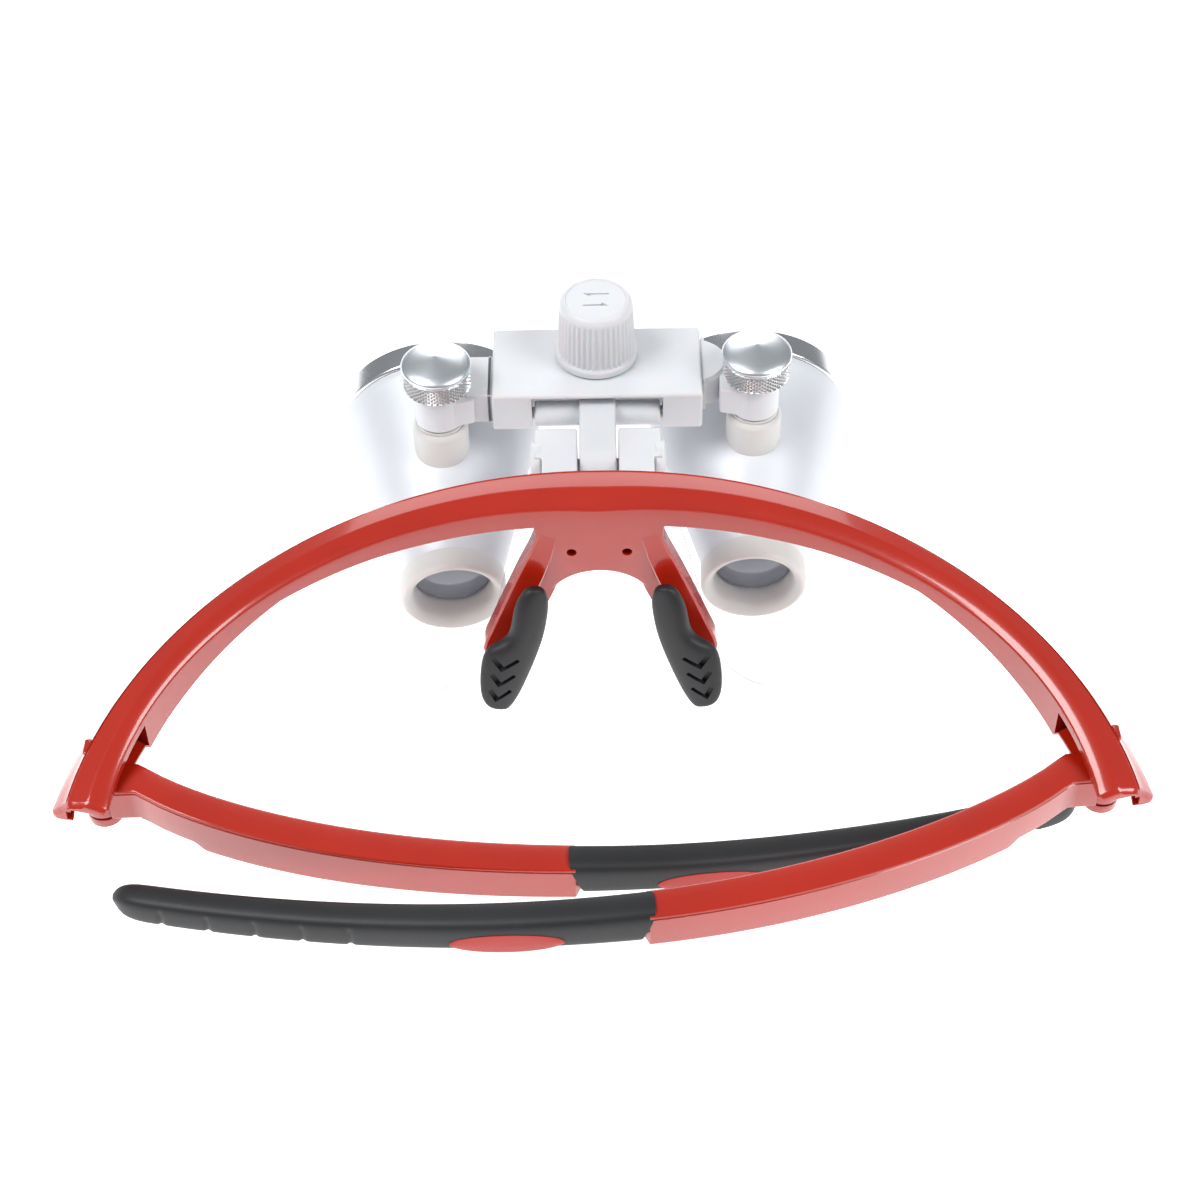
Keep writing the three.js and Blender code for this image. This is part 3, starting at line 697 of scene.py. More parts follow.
    @staticmethod
    def shade(piece: bpy.types.Object, angle: float = 40.0) -> None:
        """Shades smooth, with edges sharper than an angle kept."""
        # Sets the surroundings to one even pale blue-white.
        Workbench.take(piece)
        bpy.ops.object.shade_smooth_by_angle(angle=math.radians(angle))
        Workbench.apply(piece, "WEIGHTED_NORMAL", keep_sharp=True, weight=80)


@dataclass
class Fitting:
    """Hands finished pieces over: finish, body and the node each one stands for."""

    count: int = 0

    def fit(self, piece: bpy.types.Object, finish: Finish, body: str, nodes: Sequence[str] = (),
            angle: float = 40.0) -> bpy.types.Object:
        """Dresses a piece and makes it ride on its body.

        Args:
            piece: The finished mesh.
            finish: Its finish.
            body: The body it moves with.
            nodes: Nodes that it stands for.
            angle: Edges sharper than this stay sharp.

        Returns:
            The piece.
        """
        Workbench.shade(piece, angle)
        if not piece.data.materials:
            piece.data.materials.append(Finishes.material(finish))
        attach(piece, body)
        if nodes:
            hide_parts(*nodes)
        self.count += 1
        LOG.info("piece %s on %s, %d faces", piece.name, body, len(piece.data.polygons))
        return piece


def rod(name: str, start: Vector, end: Vector, radius: float, bevel: float = 0.2, steps: int = 48) -> bpy.types.Object:
    """Makes a round rod with chamfered ends.

    Args:
        name: The new object's name.
        start: One end in millimetres from the datum.
        end: The other end in millimetres from the datum.
        radius: Radius in millimetres.
        bevel: Chamfer in millimetres.
        steps: Steps round the axis.

    Returns:
        The rod.
    """
    length = (end - start).length
    profile = [(0, 0), (radius - bevel, 0), (radius, bevel), (radius, length - bevel),
               (radius - bevel, length), (0, length)]
    turn = Vector((0, 0, 1)).rotation_difference(end - start).to_matrix().to_4x4()
    return Workbench.turned(name, profile, Matrix.Translation(DATUM.at(*start)) @ turn, steps)


# ---------------------------------------------------------------- the red half frame

@dataclass(frozen=True)
class BrowShape:
    """The wrap of the brow bar: an ellipse from above, falling towards the wearer."""

    half_width: float = 73.4
    sweep: float = 60.0
    end_angle: float = math.radians(80.0)
    front_y: float = 7.7
    top_z: float = 38.0
    fall: float = 0.235
    middle: float = 7.6
    thin: float = 6.1
    end: float = 8.2
    end_thinning: float = 0.45

    def thickness(self, angle: float) -> float:
        """Gives the bar's depth at an angle, in millimetres."""
        share = abs(angle) / self.end_angle
        middle = max(0.0, 1.0 - share / 0.4) ** 2 * (self.middle - self.thin)
        end = (max(0.0, share - 0.5) / 0.5) ** 2 * (self.end - self.thin)
        return self.thin + middle + end

    def squash(self, angle: float) -> float:
        """Gives how much of its height the bar keeps at an angle."""
        return 1.0 - self.end_thinning * (angle / self.end_angle) ** 2

    def point(self, angle: float, depth: float, height: float, out: float = 0.0) -> Vector:
        """Gives a point of the bar.

        Args:
            angle: Angle round the ellipse, 0 in the middle.
            depth: 0 at the front edge, -1 at the back edge.
            height: Millimetres over the back top edge.
            out: A further distance outwards in millimetres.

        Returns:
            The point in metres.
        """
        normal = Vector((self.sweep * math.sin(angle), self.half_width * math.cos(angle))).normalized()
        shift = depth * self.thickness(angle) + out
        x = self.half_width * math.sin(angle) + normal.x * shift
        y = self.front_y - self.sweep * (1.0 - math.cos(angle)) + normal.y * shift
        return DATUM.at(x, y, self.top_z + self.fall * y + height * (self.squash(angle) if height < 0.0 else 1.0))


BROW = BrowShape()


@dataclass
class FrontFrame:
    """The moulded half frame: brow bar, bridge, nose arms and hinge ends."""

    stations: int = 110
    groove: float = 0.32
    shoulder_middle: float = 0.13
    shoulder_end: float = 0.32
    back_heights: tuple[tuple[float, float], ...] = (
        (0.0, -3.5), (20.0, -3.3), (40.0, -2.4), (56.0, -5.0), (65.0, -6.1), (66.0, -4.8), (73.0, -4.1), (80.0, -3.3))
    slot_from: float = math.radians(65.2)
    slot_to: float = math.radians(76.0)
    hole_x: float = 3.93
    hole_z: float = 29.5

    def back_height(self, angle: float) -> float:
        """Gives the lower edge of the back face at an angle, in millimetres under its top edge."""
        degrees = abs(math.degrees(angle))
        for (a, low), (b, high) in zip(self.back_heights, self.back_heights[1:]):
            if degrees <= b:
                return lerp(low, high, (degrees - a) / (b - a)) / BROW.squash(angle)
        return self.back_heights[-1][1] / BROW.squash(angle)

    def section(self, angle: float) -> list[tuple[float, float]]:
        """Gives the bar's section as depth shares and heights, from the back's lower edge over the top."""
        low = self.back_height(angle)
        degrees = abs(math.degrees(angle))
        cut = self.groove * smooth(degrees, 20.0, 44.0)
        shoulder = lerp(self.shoulder_middle, self.shoulder_end, smooth(degrees, 10.0, 70.0))
        crown = ((0.0, 0.02), (0.08, 0.24), (0.2, 0.46), (0.33, 0.62), (0.405, 0.675), (0.44, 0.67),
                 (0.5, 0.58), (0.65, 0.32), (0.82, 0.02), (0.955, -0.26))
        top = [(lerp(-0.965, -shoulder, t), height) for t, height in crown]
        drop = 0.3 + 0.25 * smooth(degrees, 20.0, 60.0)
        solid = smooth(degrees, 75.5, 77.0)
        under = lerp(-2.95, low, solid)
        skirt = lerp(lerp(-5.2, -6.9, smooth(degrees, 22.0, 58.0)), min(low, -6.6), solid)
        steep = smooth(degrees, 22.0, 58.0)
        return [
            (-1.0, low), (-1.0, low * 0.55), (-1.0, -0.42), (-0.99, -0.16), *top,
            (-shoulder - 0.008, -drop), (-shoulder, -drop - cut), (-shoulder + 0.016, -drop - 0.02 - cut),
            (-shoulder + 0.024, -drop - 0.1), (-shoulder * lerp(0.55, 0.8, steep), -0.45 - drop - 0.6 * steep),
            (-shoulder * lerp(0.2, 0.45, steep), lerp(-1.25, -3.4, steep)),
            (lerp(0.0, -0.02, steep), lerp(-2.3, -5.0, steep)), (0.0, lerp(-3.3, -5.8, steep)),
            (-0.015, skirt + 0.8 * (1.0 - steep)), (-0.045, skirt + 0.15 * (1.0 - steep)), (-0.085, skirt),
            (-0.125 - 0.05 * steep, skirt + 0.15 * (1.0 - solid)),
            (-0.14 - 0.16 * steep, under - 0.25 * (1.0 - solid)), (-0.18 - 0.16 * steep, under), (-0.5, under),
            (-0.55, lerp(-3.3, low, solid)), (-0.62, low),
        ]

    def ring(self, angle: float, shrink: float = 0.0, out: float = 0.0) -> Ring:
        """Gives one station of the bar.

        Args:
            angle: Where along the bar.
            shrink: Millimetres that the section is drawn in from its outline.
            out: Millimetres past the end, along the bar.

        Returns:
            The corners in metres.
        """
        ring = [BROW.point(angle, depth, height) for depth, height in self.section(angle)]
        centre = sum(ring, Vector()) / len(ring)
        ahead = (BROW.point(angle * 1.01, -0.5, 0.0) - BROW.point(angle, -0.5, 0.0)).normalized()
        reach = max((corner - centre).length for corner in ring)
        share = 1.0 - shrink * MM / reach
        return [centre + (corner - centre) * share + ahead * out * MM for corner in ring]

    def bar(self) -> bpy.types.Object:
        """Makes the brow bar with chamfered ends."""
        end = BROW.end_angle - math.radians(0.7)
        angles = [lerp(-end, end, step / (self.stations - 1)) for step in range(self.stations)]
        extra = [math.radians(sign * degrees) for sign in (-1, 1) for degrees in (64.95, 65.4, 66.0, 76.0, 76.6)]
        rings = [self.ring(angle) for angle in sorted(angles + extra)]
        first = [self.ring(-end, 1.2, 0.95), self.ring(-end, 0.5, 0.7), self.ring(-end, 0.12, 0.3)]
        last = [self.ring(end, 0.12, 0.3), self.ring(end, 0.5, 0.7), self.ring(end, 1.2, 0.95)]
        return Workbench.loft("half_frame", first + rings + last)

    def slot_cutters(self) -> list[bpy.types.Object]:
        """Makes the tools for the long recess inside each end and the slot in each end face."""
        tools = []
        for side in Side:
            steps = 14
            rings = []
            for step in range(steps + 1):
                angle = side.value * lerp(self.slot_from, self.slot_to, step / steps)
                low = self.back_height(angle) + 0.35 / BROW.squash(angle)
                high = -1.3 / BROW.squash(angle)
                corners = [(-1.15, low), (-0.66, low + 0.2), (-0.70, high), (-1.15, high)]
                rings.append([BROW.point(angle, depth, height) for depth, height in corners])
            tools.append(Workbench.loft(f"recess_{side.label}", rings))
            end = side.value * BROW.end_angle
            corners = [(-0.80, -4.9), (-0.28, -4.9), (-0.28, -2.1), (-0.80, -2.1)]
            mouth = [BROW.point(end * 0.965, depth, height) for depth, height in corners]
            ahead = (BROW.point(end * 1.01, -0.5, 0) - BROW.point(end, -0.5, 0)).normalized() * 6.0 * MM
            tools.append(Workbench.prism(f"end_slot_{side.label}", mouth, ahead))
        return tools

    def hinge_end(self, side: Side) -> list[bpy.types.Object]:
        """Makes the wall and the lug that hold a temple."""
        x, y = HINGE.x, HINGE.y
        wall_y = y + 2.8
        low = (x - 2.4, wall_y, 19.3)
        high = (x + 2.2, wall_y + 2.6, 28.6)
        if side is Side.LEFT:
            low, high = (-high[0], low[1], low[2]), (-low[0], high[1], high[2])
        wall = Workbench.box(f"hinge_wall_{side.label}", low, high, 0.3)
        corners = [(x + 2.4, wall_y + 2.4), (x - 2.4, wall_y + 2.4)]
        corners += [(x + 2.4 * math.cos(a), y + 2.4 * math.sin(a)) for a in
                    (math.radians(180 + 12 * step) for step in range(16))]
        outline = [DATUM.at(side.value * cx, cy, 19.3) for cx, cy in corners]
        lug = Workbench.prism(f"hinge_lug_{side.label}", outline, Vector((0, 0, 1.5 * MM)))
        Workbench.round_edges(lug, 0.2)
        return [wall, lug]

    def pocket(self, side: Side) -> bpy.types.Object:
        """Makes the tool that leaves room for a temple's knuckle."""
        low, high = (HINGE.x - 8.0, HINGE.y - 8.0, 20.8), (HINGE.x + 2.8, HINGE.y + 2.8, 27.2)
        if side is Side.LEFT:
            low, high = (-high[0], low[1], low[2]), (-low[0], high[1], high[2])
        return Workbench.box(f"pocket_{side.label}", low, high)

    def bridge(self) -> bpy.types.Object:
        """Makes the bridge plate with its arch over the nose."""
        arch = [(7.6 * math.cos(a), 17.6 + 7.9 * math.sin(a)) for a in
                (math.radians(lerp(156, 24, step / 20)) for step in range(21))]
        corners = [(9.3, 35.4), (-9.3, 35.4), (-8.9, 30.5), (-8.7, 27.0), (-9.6, 22.5), (-10.4, 20.2)]
        corners += arch + [(10.4, 20.2), (9.6, 22.5), (8.7, 27.0), (8.9, 30.5)]
        outline = [DATUM.at(x, 0.3 + max(0.0, 26.0 - z) * 0.12, z) for x, z in corners]
        plate = Workbench.prism("bridge_plate", outline, Vector((0, 3.3 * MM, 0)))
        Workbench.round_edges(plate, 0.45, 3)
        return plate

    def nose_arm(self, side: Side) -> list[bpy.types.Object]:
        """Makes the strip that runs down to a nose pad, and the web behind it."""
        route = [(7.9, 5.6, 2.4, 34.6), (8.6, 5.9, 1.5, 32.2), (10.0, 6.8, 1.0, 28.6), (11.4, 7.9, 0.7, 25.4),
                 (13.3, 9.7, 0.1, 20.9), (15.2, 11.8, -0.9, 16.6), (16.6, 13.4, -1.7, 13.6), (17.0, 14.3, -2.0, 12.4),
                 (16.9, 14.9, -2.1, 11.6), (16.5, 15.4, -2.15, 11.2)]
        strip_rings, web_rings = [], []
        for outer, inner, y, z in route:
            face, back = y - 1.3, y + 1.7
            corners = [(inner, face + 0.3), (inner + 0.22, face + 0.04), (outer - 0.3, face + 0.04),
                       (outer, face + 0.4), (outer, back), (inner, back)]
            strip_rings.append([DATUM.at(side.value * a, b, z + (a - inner) * 0.35) for a, b in corners])
            web = [(inner - 3.0, back - 0.9), (inner + 0.3, face + 1.2), (inner + 0.3, back), (inner - 3.0, back + 0.2)]
            web_rings.append([DATUM.at(side.value * a, b, z) for a, b in web])
        strip = Workbench.loft(f"nose_arm_{side.label}", strip_rings)
        return [strip, Workbench.loft(f"nose_web_{side.label}", web_rings[3:-2])]

    def build(self, fitting: Fitting) -> None:
        """Builds the half frame as one moulding and dresses it."""
        whole = self.bar()
        Workbench.boolean(whole, self.slot_cutters(), "DIFFERENCE")
        added = [self.bridge()]
        for side in Side:
            added += self.nose_arm(side) + self.hinge_end(side)
        Workbench.boolean(whole, added, "UNION")
        holes = [rod("bridge_hole", Vector((s * self.hole_x, -2.0, self.hole_z)), Vector((s * self.hole_x, 2.9, self.hole_z)),
                     0.72, 0.0, 32) for s in (-1, 1)]
        Workbench.boolean(whole, holes + [self.pocket(side) for side in Side], "DIFFERENCE")
        fitting.fit(whole, Finishes.RED, Body.FRAME.value, ["front_frame"], 35.0)


@dataclass
class BaseScrews:
    """The two small screws deep in the bridge's holes, which hold the flip mount."""

    x: float = 3.93
    z: float = 29.5
    head_y: float = 1.9
    end_y: float = 7.0

    def build(self, fitting: Fitting) -> None:
        """Builds both screws, each with a cross slot in its head."""
        for side in Side:
            x = side.value * self.x
            head, end = Vector((x, self.head_y, self.z)), Vector((x, self.end_y, self.z))
            screw = rod(f"bridge_screw_{side.label}", head, end, 0.66, 0.08)
            slots = [Workbench.box("slot", (x - a, self.head_y - 1.0, self.z - b), (x + a, self.head_y + 0.25, self.z + b))
                     for a, b in ((0.42, 0.08), (0.08, 0.42))]
            Workbench.boolean(screw, slots, "DIFFERENCE")
            fitting.fit(screw, Finishes.BLACK, Body.FRAME.value, [f"{side.label}_base_screw"], 35.0)


@dataclass
class Lenses:
    """The two clear wrap lenses, which stand on their lower edges."""

    columns: int = 72
    rows: int = 18
    thickness: float = 1.6
    seat_height: float = -3.2

    @staticmethod
    def bottom(x: float) -> float:
        """Gives the height of the lower edge: on the table, rising at the nose and at the temple."""
        nose = max(0.0, (25.0 - x) / 7.4) ** 2 * 5.0
        end = max(0.0, (x - 46.0) / 24.0) ** 2.4 * 15.0
        return TABLE_Z + nose + end

    def sheet(self, side: Side) -> bpy.types.Object:
        """Makes one lens as a bent sheet with a thickness."""
        Workbench.clear()
        bpy.ops.mesh.primitive_grid_add(x_subdivisions=self.columns, y_subdivisions=self.rows, size=1.0)
        lens = bpy.context.object
        lens.name = lens.data.name = f"clear_lens_{side.label}"
        outer = math.asin(69.0 / BROW.half_width)
        for vert in lens.data.vertices:
            p, q = vert.co.x + 0.5, vert.co.y + 0.5
            angle = lerp(math.asin(lerp(17.6, 9.2, q) / BROW.half_width), outer, p)
            top = DATUM.local(BROW.point(angle, -0.33, self.seat_height))
            place = DATUM.local(BROW.point(angle, -0.33, 0.0, -1.3 * (1.0 - q) ** 1.4))
            z = lerp(self.bottom(top.x), top.z, q)
            vert.co = DATUM.at(side.value * place.x, place.y, z)
        Workbench.take(lens)
        bpy.ops.object.mode_set(mode="EDIT")
        bpy.ops.mesh.select_all(action="SELECT")
        bpy.ops.mesh.normals_make_consistent(inside=False)
        bpy.ops.object.mode_set(mode="OBJECT")
        Workbench.apply(lens, "SOLIDIFY", thickness=self.thickness * MM, offset=0.0, use_even_offset=True)
        return lens

    def build(self, fitting: Fitting) -> None:
        """Builds both lenses, with a fine bevelled edge all round that carries a dark grey painted shade."""
        for side in Side:
            lens = self.sheet(side)
            low, high = (60.9, -60.0, 18.4), (90.0, -29.0, 60.0)
            if side is Side.LEFT:
                low, high = (-high[0], low[1], low[2]), (-low[0], high[1], high[2])
            Workbench.boolean(lens, [Workbench.box("lens_notch", low, high)], "DIFFERENCE")
            lens.data.materials.append(Finishes.material(Finishes.LENS))
            lens.data.materials.append(Finishes.material(Finishes.LENS_EDGE))
            # The bevel's faces take the second material, the lens edge's painted shade.
            Workbench.apply(lens, "BEVEL", width=0.3 * MM, segments=1, limit_method="ANGLE",
                            angle_limit=math.radians(50), material=1, use_clamp_overlap=True)
            fitting.fit(lens, Finishes.LENS, Body.FRAME.value, [f"{side.label}_lens"], 30.0)


@dataclass
class NosePads:
    """The soft pads, wider at the foot, with open chevrons near their lower ends."""

    top: Point = (9.0, -3.2, 26.2)
    foot: Point = (14.7, -8.6, 6.4)
    widths: tuple[tuple[float, float, float], ...] = (
        (0.0, 1.0, 0.8), (0.04, 1.9, 1.7), (0.12, 2.8, 2.2), (0.24, 3.3, 2.2), (0.36, 3.6, 1.7), (0.44, 3.6, 2.2),
        (0.50, 3.5, 3.8), (0.56, 3.4, 4.6), (0.66, 3.1, 4.6), (0.78, 2.7, 4.2), (0.89, 2.2, 3.6), (0.96, 1.6, 2.8),
        (1.0, 0.9, 1.8))
    thickness: float = 1.5

    def build_one(self, side: Side, fitting: Fitting) -> None:
        """Makes one pad and cuts its chevrons."""
        top, foot = Vector(self.top), Vector(self.foot)
        along = (foot - top).normalized()
        outward = Vector((0.9, -0.3, 0.34))
        outward = (outward - along * outward.dot(along)).normalized()
        face = outward.cross(along).normalized()
        if face.y > 0.0:
            face = -face
        rings = []
        for t, inner, outer in self.widths:
            centre = top.lerp(foot, t)
            ring = []
            for step in range(20):
                a = math.tau * step / 20.0
                reach = outer if math.cos(a) > 0.0 else inner
                thick = self.thickness * (0.35 + 0.65 * math.sin(math.pi * min(1.0, max(0.0, t * 0.9 + 0.05))) ** 0.6)
                wide = math.copysign(abs(math.cos(a)) ** 0.8, math.cos(a)) * reach
                deep = math.copysign(abs(math.sin(a)) ** 0.8, math.sin(a)) * thick
                cup = 0.05 * wide * wide
                place = centre + outward * wide + face * (deep - cup)
                ring.append(DATUM.at(side.value * place.x, place.y, place.z))
            rings.append(ring)
        pad = Workbench.loft(f"nose_pad_{side.label}", rings)
        Workbench.apply(pad, "SUBSURF", levels=2, render_levels=2)
        cutters = []
        for number, t in enumerate((0.595, 0.725, 0.855)):
            centre = top.lerp(foot, t) + outward * (1.9 - number * 0.3)
            arms = 2.0 - 0.15 * number
            outline = [(-arms, -0.9), (-arms + 0.55, -1.35), (0.15, 0.55),
                       (arms - 0.45, -1.0), (arms, -0.35), (0.3, 1.75)]
            corners = []
            for a, b in outline:
                place = centre + outward * a + along * b * 0.8 + face * 4.0
                corners.append(DATUM.at(side.value * place.x, place.y, place.z))
            drop = -face * 3.9 * MM
            cutters.append(Workbench.prism("chevron", corners, Vector((side.value * drop.x, drop.y, drop.z))))
        Workbench.boolean(pad, cutters, "DIFFERENCE")
        fitting.fit(pad, Finishes.RUBBER, Body.FRAME.value, [f"{side.label}_nose_pad"], 45.0)

    def build(self, fitting: Fitting) -> None:
        """Builds both pads."""
        for side in Side:
            self.build_one(side, fitting)


# ---------------------------------------------------------------- temples

@dataclass
class Temple:
    """A folded temple: a red arm with a shaped root, and a rubber sleeve with finger grooves."""

    side: Side
    angle: float
    rise: float
    length: float = 131.0
    bow: float = 14.0
    drop: float = 8.0
    bow_skew: float = 0.86
    straight: float = 5.4
    sleeve_start: float = 62.5
    root_z: float = 24.0
    root_height: float = 5.8
    root_width: float = 5.0
    rise_from: float = 10.0
    rise_to: float = 66.0
    rise_bow: float = 0.93
    step_at: float = 13.2
    groove_from: float = 100.2
    groove_pitch: float = 6.1
    grooves: int = 6

    def raised(self, x: float) -> float:
        """Gives how far the temple is raised at a length."""
        share = smooth(x, self.rise_from, self.rise_to)
        tip = smooth(x, self.rise_to + 24.0, self.length)
        return self.rise * share * (1.0 - 0.7 * tip if self.rise < 0 else 1.0)

    def place(self, x: float, a: float, b: float) -> Vector:
        """Gives a point of the temple.

        Args:
            x: Length from the hinge in millimetres.
            a: Millimetres away from the axis towards the lenses.
            b: Millimetres over the axis.

        Returns:
            The point in metres.
        """
        share = (max(0.0, x - self.straight) / (self.length - self.straight)) ** self.bow_skew
        raised = self.raised(x)
        y = -self.bow * 4.0 * share * (1.0 - share) - raised * self.rise_bow + a
        z = self.root_z - self.drop * (x / self.length) ** 2 + raised + b
        turn = math.radians(self.angle)
        flat_x = -self.side.value * x
        px = self.side.value * HINGE.x + flat_x * math.cos(turn) - y * math.sin(turn)
        py = HINGE.y + flat_x * math.sin(turn) + y * math.cos(turn)
        return DATUM.at(px, py, z)

    def arm_section(self, x: float) -> list[tuple[float, float]]:
        """Gives the red arm's section: a crowned top, a fine line under it and a flat outer side."""
        taper = x / self.sleeve_start
        step = 1.1 * smooth(x, self.step_at - 0.9, self.step_at + 0.9)
        half = (self.root_width - 0.6 * taper) / 2.0
        top = (self.root_height - 0.9 * taper) / 2.0
        low = -top - step
        inset = 0.22
        return [
            (half, low + 0.5), (half, 0.0), (half, top - 0.45), (half - 0.12, top - 0.16), (half - 0.4, top - 0.03),
            (0.0, top + 0.03), (-half + 0.45, top - 0.02), (-half + 0.16, top - 0.12), (-half + 0.03, top - 0.3),
            (-half + 0.02, top - 0.46), (-half + inset, top - 0.55), (-half + inset, top - 0.66),
            (-half + 0.04, top - 0.8), (-half, 0.0), (-half + 0.02, low + 0.35), (-half + 0.14, low + 0.1),
            (-half + 0.4, low), (half - 0.5, low), (half - 0.15, low + 0.15),
        ]

    def arm(self) -> bpy.types.Object:
        """Makes the red arm with its knuckle."""
        lengths = [1.3, 1.5, 2.5, 4.0, 5.0, 6.5, 8.5, 10.5, 11.8, 12.3, 12.7, 13.2, 13.7, 14.1, 14.6, 16.0]
        lengths += [lerp(18.0, self.sleeve_start, step / 22.0) for step in range(23)]
        rings = [[self.place(x, a, b) for a, b in self.arm_section(x)] for x in lengths]
        for x in (self.sleeve_start + 0.6, self.sleeve_start + 1.6):
            rings.append([self.place(x, 0.72 * a, 0.72 * b) for a, b in self.arm_section(x)])
        centre = sum(rings[0], Vector()) / len(rings[0])
        cap = [centre + (corner - centre) * 0.93 for corner in rings[0]]
        shift = self.place(1.1, 0.0, 0.0) - self.place(1.3, 0.0, 0.0)
        arm = Workbench.loft(f"temple_arm_{self.side.label}", [[c + shift for c in cap]] + rings)
        hub = self.place(0.0, 0.0, 0.0)
        half = self.root_height / 2.0
        profile = [(0.95, -half), (2.2, -half), (2.5, -half + 0.3), (2.5, half - 0.3), (2.2, half), (0.95, half)]
        knuckle = Workbench.turned("knuckle", profile, Matrix.Translation(hub), 64)
        neck_ring = [(-2.1, -2.3), (2.1, -2.3), (2.1, 2.3), (-2.1, 2.3)]
        neck = Workbench.loft("knuckle_neck", [[self.place(x, a, b) for a, b in neck_ring] for x in (1.4, 3.6)])
        Workbench.boolean(arm, [neck, knuckle], "UNION")
        return arm

    def sleeve_ring(self, x: float, grow: float = 0.0, corners: int = 24) -> Ring:
        """Gives one station of the sleeve, with its finger grooves on the outer side."""
        share = (x - self.sleeve_start) / (self.length - self.sleeve_start)
        blunt = math.sqrt(max(0.04, 1.0 - max(0.0, (share - 0.945) / 0.055) ** 2))
        half_w = (4.9 - 0.7 * share) * blunt / 2.0 + grow
        half_h = (5.9 - 1.3 * share) * blunt / 2.0 + grow
        groove = 0.0
        for number in range(self.grooves):
            gap = abs(x - self.groove_from - number * self.groove_pitch)
            groove = max(groove, 0.42 * max(0.0, 1.0 - gap / 0.45))
        ring = []
        for number in range(corners):
            turn = math.tau * number / corners
            ca, sa = math.cos(turn), math.sin(turn)
            a = math.copysign(abs(ca) ** 0.62, ca) * half_w
            b = math.copysign(abs(sa) ** 0.62, sa) * half_h
            if ca < 0.35 and sa < 0.3:
                a += groove * min(1.0, 0.6 - ca)
                b += groove * 0.5 * (sa < -0.5)
            slant = 1.1 * (1.0 - smooth(share, 0.0, 0.08)) * (-b / half_h)
            ring.append(self.place(x + slant, a, b))
        return ring

    def sleeve(self) -> bpy.types.Object:
        """Makes the rubber sleeve."""
        start = self.sleeve_start
        lengths = [start + 0.2, start + 0.35, start + 0.7, start + 1.4]
        lengths += [lerp(start + 3.0, 98.0, step / 12.0) for step in range(13)]
        for number in range(self.grooves):
            middle = self.groove_from + number * self.groove_pitch
            lengths += [middle + shift for shift in (-0.7, -0.4, -0.15, 0.15, 0.4, 0.7, 3.0)]
        lengths = sorted(x for x in lengths if x < 128.9) + [129.0, 129.8, 130.4, 130.8, 131.0]
        rings = [self.sleeve_ring(x) for x in lengths]
        centre = sum(rings[0], Vector()) / len(rings[0])
        collar = [centre + (corner - centre) * 0.92 for corner in rings[0]]
        sleeve = Workbench.loft(f"temple_sleeve_{self.side.label}", [collar] + rings)
        Workbench.apply(sleeve, "SUBSURF", levels=1, render_levels=1)
        return sleeve

    def inlay(self) -> bpy.types.Object:
        """Makes the oval of the red core that shows through the sleeve's outer side."""
        rings = []
        stations = 18
        for step in range(stations + 1):
            t = lerp(-1.0, 1.0, step / stations)
            x = 80.5 + 7.2 * t
            half = 1.75 * math.sqrt(max(0.02, 1.0 - t * t))
            share = (x - self.sleeve_start) / (self.length - self.sleeve_start)
            side = -(4.9 - 0.7 * share) / 2.0
            rings.append([self.place(x, side - d, -0.75 + b) for d, b in (
                (-0.7, -half), (0.04, -half), (0.14, -half * 0.6), (0.18, 0.0),
                (0.14, half * 0.6), (0.04, half), (-0.7, half))])
        return Workbench.loft(f"sleeve_inlay_{self.side.label}", rings)

    def build(self, fitting: Fitting) -> None:
        """Builds the arm, the sleeve and the inlay."""
        body = f"{self.side.label}_temple"
        fitting.fit(self.arm(), Finishes.RED, body, [body], 35.0)
        fitting.fit(self.sleeve(), Finishes.RUBBER, body, [f"{body}_sleeve"], 50.0)
        fitting.fit(self.inlay(), Finishes.RED_SATIN, body, (), 45.0)


# ---------------------------------------------------------------- the flip mechanism

